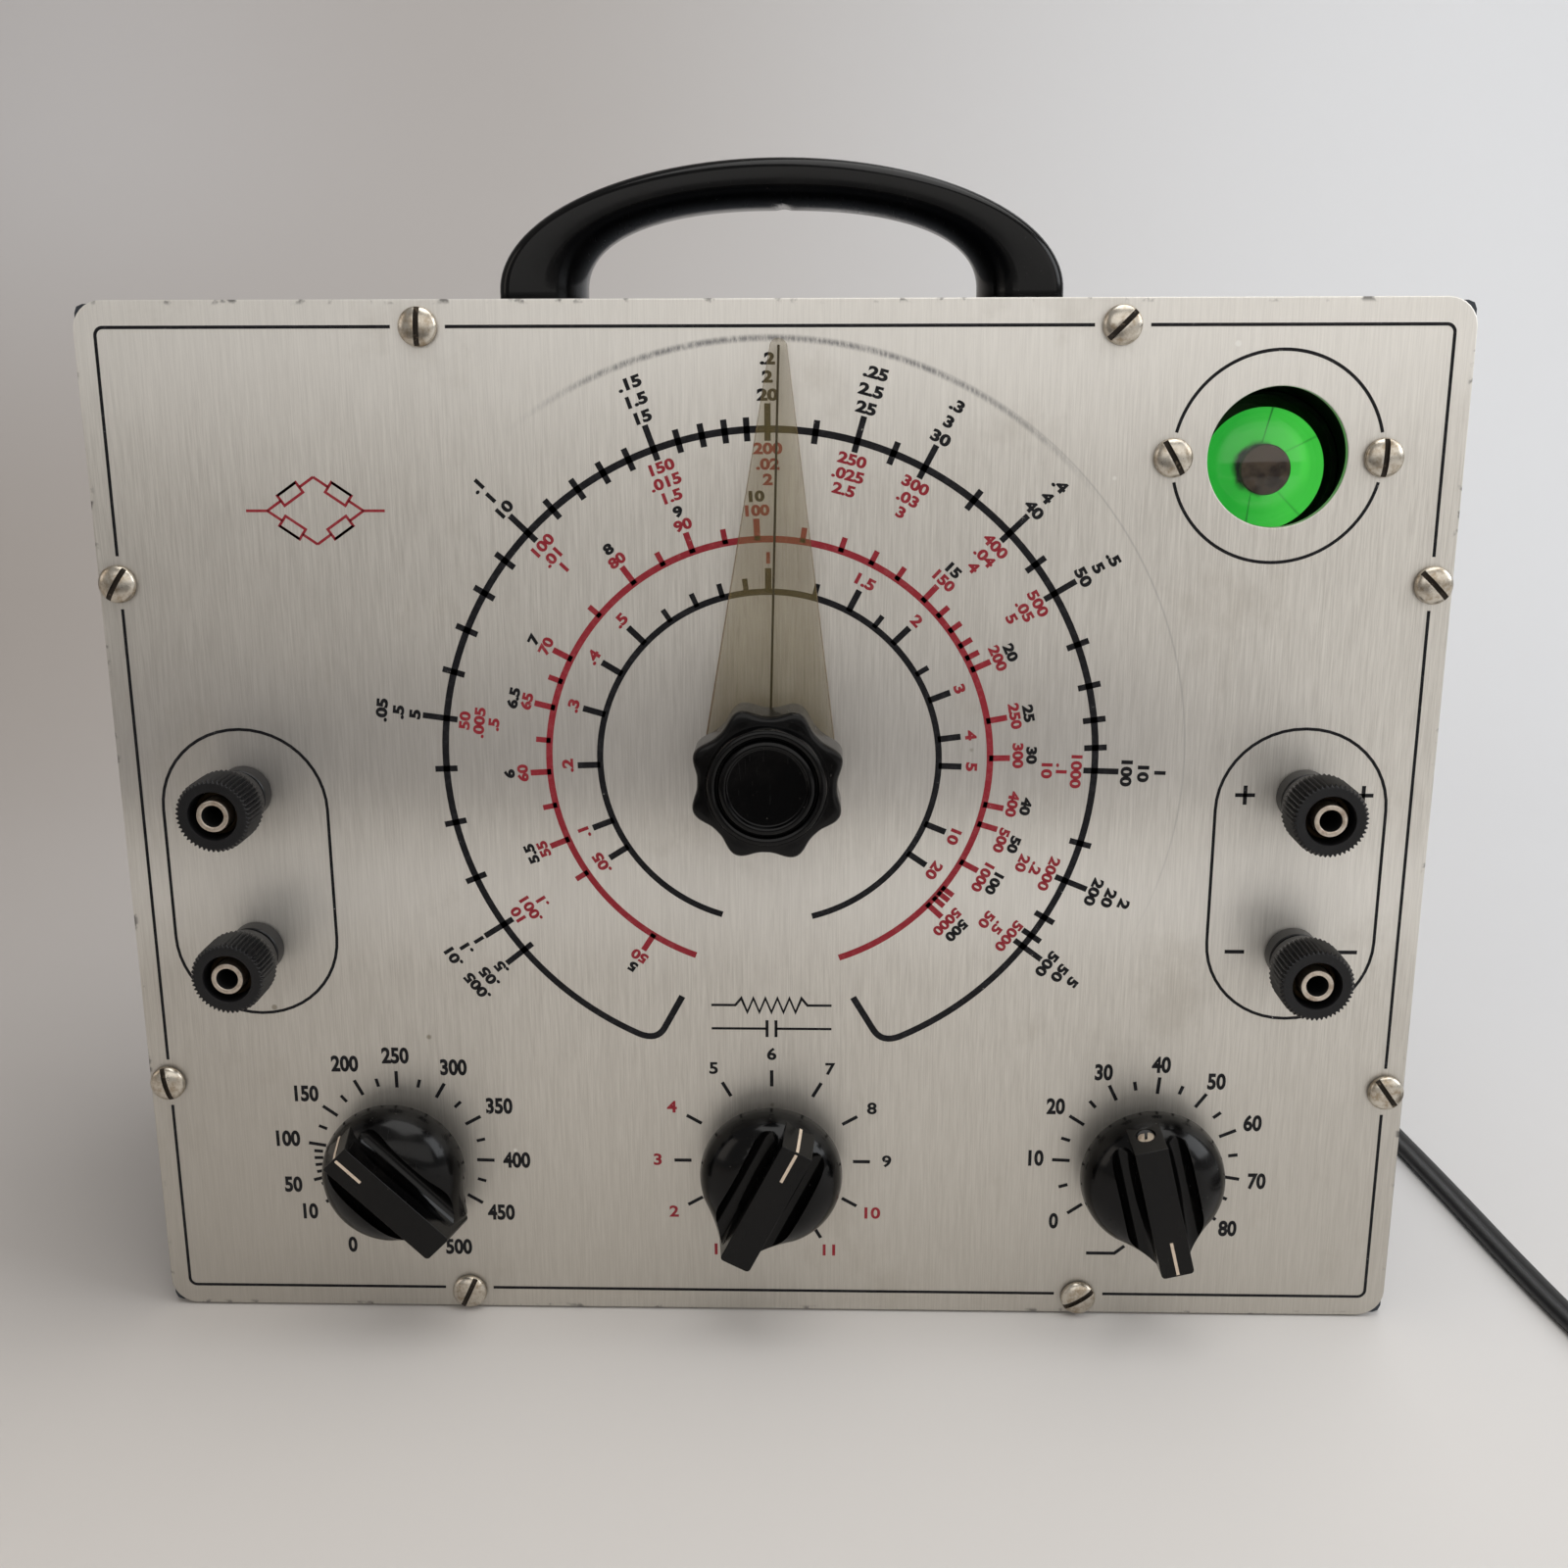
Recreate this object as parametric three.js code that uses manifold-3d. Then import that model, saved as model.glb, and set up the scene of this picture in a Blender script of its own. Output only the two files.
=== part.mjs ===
// Bench capacitance bridge in a steel cabinet, with its panel, controls, tuning eye and mains cord.
// Millimetres, +Z up. The origin is the middle of the cabinet's bottom, and the panel faces -Y.
import * as THREE from 'three';
import { mergeVertices } from 'three/addons/utils/BufferGeometryUtils.js';
import Module from 'manifold-3d';

const wasm = await Module();
wasm.setup();

// Sizes shared by the whole instrument
const gap = { seat: 0.3, running: 0.12, overrun: 1.5 };
const sides = { fine: 28, knob: 20, middle: 14, small: 10, tiny: 8, hex: 6 };
const degree = Math.PI / 180;

const cabinet = {
  width: 253.6, height: 203.2, depth: 118.7, wall: 1.2, corner: 1.6, lip: 10.4,
};
// The panel stands in from the cabinet by a hair at each side and each end
const panelInset = { side: 0.2, end: 0.4 };
const panel = {
  width: cabinet.width - 2 * panelInset.side, height: cabinet.height - 2 * panelInset.end,
  thickness: 1.6, corner: 5.5,
};

// Places of the controls: sideways the outer ones keep to the panel's edges. The eye keeps to its
// top, the dial to its middle height, and the posts stand clear above the chassis.
const shelfHeight = 60;
const fromEdge = { control: 50.4, eye: 33.9, eyeTop: 27.6, post: 24.6, screw: 3.8 };
const fromMiddle = { dial: 16.8 };
const fromShelf = { postLower: 20.2, postUpper: 52 };
const layout = {
  dialHeight: cabinet.height / 2 + fromMiddle.dial,
  controlHeight: 34.3,
  controlPitch: panel.width / 2 - fromEdge.control,
  postAside: panel.width / 2 - fromEdge.post,
  postUpper: shelfHeight + fromShelf.postUpper,
  postLower: shelfHeight + fromShelf.postLower,
  eyeAside: panel.width / 2 - fromEdge.eye,
  eyeHeight: cabinet.height - fromEdge.eyeTop,
  screwInset: fromEdge.screw,
};
const screwRowShare = 1 / 4;

// The turn of each control at rest, clockwise from straight up as the panel is faced
const restTurn = { dial: 1, voltage: -45, range: 27, powerFactor: -14 };

const shaft = { radius: 3.175, grip: 10.5 };
const bushing = { radius: 4.76, reach: 2.9, nutFlats: 12.4, nutHeight: 2.3 };

const barKnob = {
  rim: 14.3, standOff: 5, rimHeight: 1.6, crown: 14.6, top: 17.6,
  barWidth: 6.4, bluntTop: 11.9, noseTop: 15.4, noseFoot: 17.7, edge: 0.4,
  groove: 2.2, grooveHeight: 13.2, grooveEnd: 9.6, skirtWall: 1.9, hub: 5.6, roof: 2.6,
};
// The crown from the rim up: share of its height, share of the rim's radius
const crownShares = [[0.3, 0.96], [0.6, 0.84], [0.86, 0.62], [1, 0.38]];

const dialKnob = {
  peak: 14, valley: 12.85, lobes: 8, hub: 9.4, hubHeight: 4.6, face: 19.4, edge: 0.9,
  ring: 11, ringCrest: 10, ringInner: 9.1, ringRise: 1.9, grooveRise: 1.1,
  rimOuter: 8.7, rimCrest: 8, rimInner: 7.4, rimRise: 2.2, dishRise: 1.3,
};
const pointer = {
  reach: 78.5, tip: 1.8, shoulder: 12.3, shoulderHeight: 4.5, thickness: 1.5, standOff: 3.3,
};

const post = {
  collar: 5.2, collarHeight: 5.5, neck: 4.4, neckHeight: 1.2, shoulder: 3.9, shoulderDepth: 2.4,
  stud: 2, barrel: 2.9, jack: 2.05, jackDepth: 11.6, reach: 18.4, wire: 1.1, wireHeight: 2.2,
  tail: 9, nutFlats: 7.9, nutHeight: 2.4,
};
const cap = {
  start: 0.8, neck: 5.75, neckLength: 3.2, radius: 7, taper: 0.8, edge: 0.8,
  ridges: 12, ridgeDepth: 0.5, wallFoot: 1.8, liner: 4.2, linerLength: 7.2, front: 0.1,
};

const panelScrew = { head: 3.55, dome: 1.9, brim: 0.6, slot: 1, slotDepth: 1, shank: 1.65, length: 7.5 };
// A rounded head or dome from its edge in: share of its radius, share of its height
const domeShares = [[0.62, 0.78]];
const bulbShares = [[0.86, 0.55], [0.5, 0.88]];
// Turn of each panel screw's slot, as they were left by the last screwdriver
const slotTurn = {
  top_left: 2, top_right: 45, side_left_upper: 32, side_left_lower: -12,
  side_right_upper: -45, side_right_lower: -36, bottom_left: 25, bottom_right: 58,
  eye_left: -60, eye_right: 2,
};

const eye = {
  window: 12.7, drop: 2.7, screwAside: 19.05, earReach: 23, earHeight: 9, plate: 1,
  shroud: 16.9, shroudInner: 16, shroudLength: 27, neckLength: 6,
  glass: 14.6, glassWall: 1, glassFront: 5.4, domeDepth: 6.4, glassLength: 38,
  target: 11.3, targetFront: 10.4, targetDepth: 4.4, targetWall: 0.6, sleeve: 2.4,
  cap: 4.7, capFront: 7.9, capHeight: 1.2, capStem: 1.1, capStemLength: 9,
  base: 16.2, baseLength: 17, key: 3.9, keyLength: 9, socket: 17.4, socketLength: 10,
};

const potentiometer = { radius: 13.2, depth: 15, lug: 2.4, lugThickness: 0.8, lugLength: 6, lugPitch: 5 };
const mainsSwitch = { radius: 12.2, depth: 13 };
const bridgePot = { radius: 22.5, depth: 24, lug: 3.2, lugThickness: 1, lugLength: 8, lugPitch: 9 };
const rangeSwitch = {
  detent: 13, detentDepth: 5, wafer: 17.2, waferLug: 20, lugs: 8, lugWidth: 3.2,
  waferThickness: 1.6, waferPitch: 9.5, wafers: 3, rod: 1.5, rodAside: 14, tail: 3,
};
const innerBore = 9;

// The chassis stands in from the cabinet's sides, clear of the panel screws and the lip
const chassisInset = 13.8;
const chassis = {
  width: cabinet.width - 2 * chassisInset, sheet: 1.2, foot: 13, shelf: shelfHeight, depth: 86, lip: 12, gusset: 30,
};
// What stands on the chassis keeps to its sides
const transformer = {
  fromSide: 47, back: 62, width: 62, depth: 44, height: 50, stack: 24, bell: 38, bellCorner: 5, foot: 2,
  corner: 2,
};
const rectifier = {
  fromSide: 47, back: 60, base: 16.2, baseHeight: 20, glass: 14.4, glassHeight: 46, dome: 9, neck: 13.2,
};
const canister = { aside: 8, back: 60, radius: 12.7, height: 60, foot: 14.6, footHeight: 3, edge: 1.2 };

const handle = {
  outer: 59.9, rise: 30.8, inner: 42.4, innerRise: 21.6, depth: 25, edge: 3.4, nub: 2.2, nubLength: 5,
  screwAside: 51.2, screw: 2.1, screwLength: 10, screwHead: 4.2, screwHeadHeight: 2.4,
};

// Ventilation slots and the cord's hole in the back
const vent = { width: 4, height: 26, pitch: 12, count: 7, row: 158, lowRow: 66 };
const cordHoleInset = 34.8;
const cordHole = { aside: cabinet.width / 2 - cordHoleInset, height: 24, radius: 6.4 };

const cord = { width: 5.6, thickness: 2.9, sides: 8, steps: 46 };
const grommet = { flange: 9.4, flangeThickness: 2.6, throat: 5.8, nose: 4.4, length: 24, tail: 4 };
const coilAway = 99.2;
const coil = {
  x: cabinet.width / 2 + coilAway, y: -72, inner: 19, pitch: 6.9, layerPitch: 3.4, turnsPerLayer: 3.625, loopSteps: 24, lead: 22,
};
// Share of a turn that the climb to the upper layer takes, and the rise to the plug
const climbTurnShare = 0.125;
const riseTurnShare = 0.5;
const plug = {
  length: 27, width: 24, thickness: 14, corner: 5, neck: 6, neckRadius: 5, neckTip: 4,
  prong: 6.3, prongThickness: 1.5, prongLength: 16, prongPitch: 12.7, prongRoot: 4,
};

// Values worked out from the sizes above
const totalDepth = panel.thickness + gap.seat + cabinet.depth;
const frontY = -totalDepth / 2;
const backY = totalDepth / 2;
const cabinetFrontY = frontY + panel.thickness + gap.seat;
const panelMiddleZ = cabinet.height / 2;
const behindPanel = panel.thickness + gap.seat;
const behindChassis = behindPanel + chassis.sheet + gap.seat;

// Surfaces
const finish = {
  panel: new THREE.MeshStandardMaterial({ color: 0xb9b9b4, roughness: 0.42, metalness: 0.85 }),
  cabinet: new THREE.MeshStandardMaterial({ color: 0x2d3238, roughness: 0.5, metalness: 0.3 }),
  bakelite: new THREE.MeshStandardMaterial({ color: 0x0d0d0e, roughness: 0.18, metalness: 0 }),
  postPlastic: new THREE.MeshStandardMaterial({ color: 0x141414, roughness: 0.4, metalness: 0 }),
  amber: new THREE.MeshStandardMaterial({ color: 0xb09a5c, roughness: 0.15, transparent: true, opacity: 0.45 }),
  nickel: new THREE.MeshStandardMaterial({ color: 0xb6afa2, roughness: 0.32, metalness: 1 }),
  steel: new THREE.MeshStandardMaterial({ color: 0x8f9092, roughness: 0.4, metalness: 1 }),
  brass: new THREE.MeshStandardMaterial({ color: 0xb5934f, roughness: 0.35, metalness: 1 }),
  shroud: new THREE.MeshStandardMaterial({ color: 0x0a0a0a, roughness: 0.8 }),
  glass: new THREE.MeshStandardMaterial({ color: 0xe8efe8, roughness: 0.05, transparent: true, opacity: 0.25 }),
  glow: new THREE.MeshStandardMaterial({ color: 0x2fd04a, roughness: 0.5 }),
  eyeCap: new THREE.MeshStandardMaterial({ color: 0x3a332c, roughness: 0.5, metalness: 0.4 }),
  brown: new THREE.MeshStandardMaterial({ color: 0x2b1a12, roughness: 0.4 }),
  zinc: new THREE.MeshStandardMaterial({ color: 0x9a9b98, roughness: 0.45, metalness: 0.9 }),
  fibre: new THREE.MeshStandardMaterial({ color: 0x7a5430, roughness: 0.7 }),
  varnish: new THREE.MeshStandardMaterial({ color: 0x1d1d1f, roughness: 0.45, metalness: 0.2 }),
  aluminium: new THREE.MeshStandardMaterial({ color: 0xc4c6c8, roughness: 0.35, metalness: 1 }),
  rubber: new THREE.MeshStandardMaterial({ color: 0x121212, roughness: 0.75 }),
};

const instrument = new THREE.Group();
const front = new THREE.Group();
front.position.set(0, frontY, 0);
instrument.add(front);

// Solids and booleans

function signedVolume(positions, index) {
  const a = new THREE.Vector3();
  const b = new THREE.Vector3();
  const c = new THREE.Vector3();
  let volume = 0;
  for (let i = 0; i < index.length; i += 3) {
    a.fromArray(positions, 3 * index[i]);
    b.fromArray(positions, 3 * index[i + 1]);
    c.fromArray(positions, 3 * index[i + 2]);
    volume += a.dot(b.cross(c));
  }
  return volume;
}

// A closed mesh becomes a solid. Triangles that have no area at a pole are dropped.
function solid(geometry) {
  const bare = geometry.clone();
  bare.deleteAttribute('normal');
  bare.deleteAttribute('uv');
  const merged = mergeVertices(bare);
  const positions = merged.attributes.position.array;
  const index = [];
  for (let i = 0; i < merged.index.count; i += 3) {
    const corners = [merged.index.getX(i), merged.index.getX(i + 1), merged.index.getX(i + 2)];
    if (new Set(corners).size === 3) index.push(...corners);
  }
  if (signedVolume(positions, index) < 0) index.reverse();
  return new wasm.Manifold(new wasm.Mesh({
    numProp: 3, vertProperties: Float32Array.from(positions), triVerts: Uint32Array.from(index),
  }));
}

function geometryOf(body) {
  const { vertProperties, triVerts } = body.getMesh();
  const geometry = new THREE.BufferGeometry();
  geometry.setAttribute('position', new THREE.BufferAttribute(Float32Array.from(vertProperties), 3));
  geometry.setIndex(new THREE.BufferAttribute(Uint32Array.from(triVerts), 1));
  geometry.computeVertexNormals();
  return geometry;
}

function join(...geometries) {
  return geometries.map(solid).reduce((whole, piece) => whole.add(piece));
}

function cut(body, ...geometries) {
  return geometries.reduce((whole, tool) => whole.subtract(solid(tool)), body);
}

// A named piece in its group, at its place and turned about the axis that faces the panel
function place(name, body, material, parent = front, position = [0, 0, 0], turn = 0) {
  const geometry = body.isBufferGeometry ? geometryOf(solid(body)) : geometryOf(body);
  const mesh = new THREE.Mesh(geometry, material);
  mesh.name = name;
  mesh.position.set(...position);
  mesh.rotation.y = turn * degree;
  parent.add(mesh);
  return mesh;
}

// Basic forms. On the panel a form stands along -Y, and "out" is the distance in front of the panel.

function turned(profile, count) {
  const points = profile.map(([radius, out]) => new THREE.Vector2(radius, out));
  return new THREE.LatheGeometry(points, count).rotateX(Math.PI);
}

function turnedUp(profile, count) {
  return turned(profile, count).rotateX(-Math.PI / 2);
}

function rod(radius, from, to, count) {
  return turned([[0, from], [radius, from], [radius, to], [0, to]], count);
}

function slab(shape, from, to, count = sides.tiny) {
  const options = { depth: to - from, bevelEnabled: false, curveSegments: count };
  return new THREE.ExtrudeGeometry(shape, options).rotateX(Math.PI / 2).translate(0, -from, 0);
}

function block(width, depth, height, x, y, z) {
  return new THREE.BoxGeometry(width, depth, height).translate(x, y, z);
}

// A rectangle with rounded corners, each in a few straight steps
function roundedRectangle(width, height, radius, x = 0, z = 0, steps = 3) {
  const shape = new THREE.Shape();
  for (let quarter = 0; quarter < 4; quarter += 1) {
    const cornerX = x + (width / 2 - radius) * (quarter === 0 || quarter === 3 ? 1 : -1);
    const cornerZ = z + (height / 2 - radius) * (quarter < 2 ? 1 : -1);
    for (let i = 0; i <= steps; i += 1) {
      const angle = (Math.PI / 2) * (quarter + i / steps);
      const point = [cornerX + radius * Math.cos(angle), cornerZ + radius * Math.sin(angle)];
      shape[quarter || i ? 'lineTo' : 'moveTo'](...point);
    }
  }
  shape.closePath();
  return shape;
}

function circle(radius, x, z) {
  return new THREE.Path().absarc(x, z, radius, 0, 2 * Math.PI);
}

function polygonAcrossFlats(flats, count) {
  const shape = new THREE.Shape();
  const radius = flats / 2 / Math.cos(Math.PI / count);
  for (let i = 0; i < count; i += 1) {
    const angle = (2 * Math.PI * i) / count;
    shape[i ? 'lineTo' : 'moveTo'](radius * Math.cos(angle), radius * Math.sin(angle));
  }
  return shape;
}

// A solid skinned over rings that have the same number of points
function loft(rings) {
  const count = rings[0].length;
  const positions = rings.flat(2);
  const index = [];
  for (let ring = 0; ring + 1 < rings.length; ring += 1) {
    for (let i = 0; i < count; i += 1) {
      const next = (i + 1) % count;
      const a = ring * count + i;
      const b = ring * count + next;
      index.push(a, b, b + count, a, b + count, a + count);
    }
  }
  const last = (rings.length - 1) * count;
  for (let i = 1; i + 1 < count; i += 1) {
    index.push(0, i + 1, i, last, last + i, last + i + 1);
  }
  const geometry = new THREE.BufferGeometry();
  geometry.setAttribute('position', new THREE.Float32BufferAttribute(positions, 3));
  geometry.setIndex(index);
  return geometry;
}

// Places of the eight panel screws, on a quarter of the panel's width and height
const screwPlaces = (() => {
  const across = cabinet.width * screwRowShare;
  const edgeX = panel.width / 2 - layout.screwInset;
  const edgeZ = panel.height / 2 - layout.screwInset;
  const up = cabinet.height * screwRowShare;
  return {
    top_left: [-across, panelMiddleZ + edgeZ], top_right: [across, panelMiddleZ + edgeZ],
    side_left_upper: [-edgeX, panelMiddleZ + up], side_left_lower: [-edgeX, panelMiddleZ - up],
    side_right_upper: [edgeX, panelMiddleZ + up], side_right_lower: [edgeX, panelMiddleZ - up],
    bottom_left: [-across, panelMiddleZ - edgeZ], bottom_right: [across, panelMiddleZ - edgeZ],
  };
})();
const controls = { voltage: -layout.controlPitch, range: 0, power_factor: layout.controlPitch };
const posts = {
  left_upper: [-layout.postAside, layout.postUpper], left_lower: [-layout.postAside, layout.postLower],
  right_upper: [layout.postAside, layout.postUpper], right_lower: [layout.postAside, layout.postLower],
};

// The front panel, with a hole for each thing that passes it
function frontPanel() {
  const shape = roundedRectangle(panel.width, panel.height, panel.corner, 0, panelMiddleZ, sides.hex);
  const bushingHole = bushing.radius + gap.seat;
  const addHole = (radius, x, z) => shape.holes.push(circle(radius, x, z));
  addHole(bushingHole, 0, layout.dialHeight);
  Object.values(controls).forEach((x) => addHole(bushingHole, x, layout.controlHeight));
  Object.values(posts).forEach(([x, z]) => addHole(post.shoulder + gap.seat, x, z));
  Object.values(screwPlaces).forEach(([x, z]) => addHole(panelScrew.shank + gap.seat, x, z));
  [-1, 1].forEach((side) => {
    addHole(panelScrew.shank + gap.seat, layout.eyeAside + side * eye.screwAside, layout.eyeHeight);
  });
  const plate = join(slab(shape, -panel.thickness, 0, sides.middle / 2));
  const window = rod(eye.window, -panel.thickness - gap.overrun, gap.overrun, sides.fine);
  return cut(plate, window.translate(layout.eyeAside, 0, layout.eyeHeight));
}

// The folded cabinet: open at the front, with a lip that takes the panel's screws
function cabinetShell() {
  const { width, height, depth, wall, corner, lip } = cabinet;
  const middle = cabinetFrontY + depth / 2;
  const outer = slab(roundedRectangle(width, height, corner, 0, height / 2, 2), 0, depth);
  const hollow = block(
    width - 2 * wall, depth - 2 * wall, height - 2 * wall, 0, middle, height / 2,
  );
  const mouthDepth = 2 * (wall + gap.overrun);
  const mouth = block(width - 2 * lip, mouthDepth, height - 2 * lip, 0, cabinetFrontY, height / 2);
  let shell = cut(join(outer.translate(0, cabinetFrontY + depth, 0)), hollow, mouth);

  const through = (radius, x, z, y) => rod(
    radius, -wall - gap.overrun, wall + gap.overrun, sides.tiny,
  ).translate(x, y, z);
  Object.values(screwPlaces).forEach(([x, z]) => {
    shell = cut(shell, through(panelScrew.shank + gap.seat, x, z, cabinetFrontY));
  });
  shell = cut(shell, through(cordHole.radius, cordHole.aside, cordHole.height, backY));

  const slot = roundedRectangle(vent.width, vent.height, vent.width / 2 - gap.seat, 0, 0, 1);
  for (const row of [vent.row, vent.lowRow]) {
    for (let i = 0; i < vent.count; i += 1) {
      const x = (i - (vent.count - 1) / 2) * vent.pitch;
      const tool = slab(slot, -wall - gap.overrun, wall + gap.overrun);
      shell = cut(shell, tool.translate(x, backY, row));
    }
  }
  [-1, 1].forEach((side) => {
    const hole = rod(handle.screw + gap.seat, -wall - gap.overrun, wall + gap.overrun, sides.tiny);
    shell = cut(shell, hole.rotateX(Math.PI / 2).translate(side * handle.screwAside, 0, height));
  });
  return shell;
}

// The arched handle, with a blind hole in each foot and the moulding's nub under the top
function carryingHandle() {
  const inset = handle.edge;
  const shape = new THREE.Shape();
  shape.absellipse(0, inset, handle.outer - inset, handle.rise - 2 * inset, 0, Math.PI);
  shape.lineTo(-handle.inner - inset, inset);
  shape.absellipse(0, inset, handle.inner + inset, handle.innerRise, Math.PI, 0, true);
  shape.closePath();
  const arch = new THREE.ExtrudeGeometry(shape, {
    depth: handle.depth - 2 * inset, bevelEnabled: true, bevelThickness: inset, bevelSize: inset,
    bevelSegments: 2, curveSegments: sides.small,
  }).rotateX(Math.PI / 2).translate(0, handle.depth / 2 - inset, 0);
  const nub = rod(handle.nub, -handle.nubLength / 2, handle.nubLength / 2, sides.tiny);
  const nubZ = handle.innerRise + handle.nub / 2;
  let body = join(arch, nub.translate(0, 0, nubZ));
  const holeDepth = handle.screwLength + gap.seat;
  [-1, 1].forEach((side) => {
    const hole = rod(handle.screw + gap.seat, -gap.overrun, holeDepth, sides.tiny);
    body = cut(body, hole.rotateX(-Math.PI / 2).translate(side * handle.screwAside, 0, 0));
  });
  return body;
}

// A slotted screw whose head faces outwards
function slottedScrew({ head, dome, brim, slot, slotDepth, shank, length }) {
  const seat = gap.seat;
  const top = seat + dome;
  const rounding = domeShares.map(([radius, height]) => [head * radius, seat + dome * height]);
  const body = join(turned([
    [0, -length], [shank, -length], [shank, seat], [head, seat], [head, seat + brim], ...rounding, [0, top],
  ], sides.small));
  const depth = slotDepth + gap.overrun;
  return cut(body, block(slot, depth, 2 * head + gap.overrun, 0, -(top - slotDepth + depth / 2), 0));
}

// A pan head screw that comes up through the cabinet's top into a foot of the handle
function handleScrew() {
  const top = cabinet.wall + gap.seat + handle.screwLength;
  const { screw, screwHead, screwHeadHeight } = handle;
  return turnedUp([
    [0, -screwHeadHeight - gap.seat], [screwHead, -screwHeadHeight / 2 - gap.seat],
    [screwHead, -gap.seat], [screw, -gap.seat], [screw, top], [0, top],
  ], sides.small);
}

// Control knobs with a grip bar across a round skirt

// Outline of the skirt at one height: a circle drawn out to the nose of the bar
function skirtRing(radius, reach, halfWidth, out) {
  const cornerRadius = Math.hypot(halfWidth, reach);
  const cornerAngle = Math.atan2(reach, halfWidth);
  const tangent = cornerAngle - Math.acos(Math.min(1, radius / cornerRadius));
  const steps = sides.knob;
  const ring = [];
  for (let i = 0; i <= steps; i += 1) {
    const angle = -tangent + ((Math.PI + 2 * tangent) * i) / steps;
    ring.push([radius * Math.cos(angle), -out, radius * Math.sin(angle)]);
  }
  ring.push([-halfWidth, -out, -reach], [halfWidth, -out, -reach]);
  return ring;
}

function gripBar() {
  const { standOff, rimHeight, top, edge, barWidth, bluntTop, noseTop, noseFoot, rim } = barKnob;
  const foot = standOff + rimHeight / 2;
  const shape = new THREE.Shape();
  shape.moveTo(rim - edge, foot);
  shape.lineTo(rim - edge - edge, standOff + 2 * rimHeight);
  shape.lineTo(bluntTop, top - 2 * edge);
  shape.lineTo(bluntTop - edge, top - edge);
  shape.lineTo(-noseTop, top - edge);
  shape.lineTo(-noseTop - edge, top - 2 * edge);
  shape.lineTo(-noseFoot + edge, foot + edge);
  shape.lineTo(-noseFoot + edge, foot);
  shape.closePath();
  const bar = new THREE.ExtrudeGeometry(shape, {
    depth: barWidth - 2 * edge, bevelEnabled: true, bevelThickness: edge, bevelSize: edge, bevelSegments: 1,
  }).translate(0, 0, edge - barWidth / 2);
  const along = new THREE.Vector3(0, 0, 1);
  const outwards = new THREE.Vector3(0, -1, 0);
  const across = new THREE.Vector3(1, 0, 0);
  return bar.applyMatrix4(new THREE.Matrix4().makeBasis(along, outwards, across));
}

function gripKnob() {
  const k = barKnob;
  const rimTop = k.standOff + k.rimHeight;
  const reachAt = (share) => k.noseFoot + (k.noseTop - k.noseFoot) * share - k.edge;
  const rings = [
    skirtRing(k.rim - k.edge, reachAt(0), k.barWidth / 2 - k.edge, k.standOff),
    skirtRing(k.rim, reachAt(0) + k.edge / 2, k.barWidth / 2 - k.edge / 2, k.standOff + k.edge),
    skirtRing(k.rim, reachAt(0) + k.edge / 2, k.barWidth / 2 - k.edge / 2, rimTop),
  ];
  crownShares.forEach(([heightShare, radiusShare]) => {
    const out = rimTop + (k.crown - rimTop) * heightShare;
    const narrow = k.barWidth / 2 - k.edge / 2;
    rings.push(skirtRing(k.rim * radiusShare, reachAt(heightShare), narrow, out));
  });
  let body = join(loft(rings), gripBar());
  [-1, 1].forEach((side) => {
    const x = side * (k.barWidth / 2 + k.groove);
    const end = turned([
      [0, -k.groove], [k.groove * Math.SQRT1_2, -k.groove * Math.SQRT1_2], [k.groove, 0],
      [k.groove, k.rim + k.grooveEnd + gap.overrun], [0, k.rim + k.grooveEnd + gap.overrun],
    ], sides.small);
    const channel = end.rotateX(-Math.PI / 2).translate(x, -k.grooveHeight, -k.grooveEnd);
    const above = block(
      2 * k.groove, k.top - k.grooveHeight + gap.overrun, k.rim + k.grooveEnd + gap.overrun, x,
      -(k.top + k.grooveHeight + gap.overrun) / 2, (k.rim + gap.overrun - k.grooveEnd) / 2,
    );
    body = cut(body, channel, above);
  });
  const ceiling = k.crown - k.groove - k.roof;
  const skirtInner = k.rim - k.skirtWall;
  const hollow = turned([
    [k.hub, k.standOff - gap.overrun], [skirtInner, k.standOff - gap.overrun],
    [skirtInner, rimTop], [skirtInner - k.skirtWall, ceiling], [k.hub, ceiling],
    [k.hub, k.standOff - gap.overrun],
  ], sides.small);
  const bore = rod(shaft.radius + gap.seat, k.standOff - gap.overrun, k.standOff + shaft.grip, sides.small);
  return cut(body, hollow, bore);
}

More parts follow.
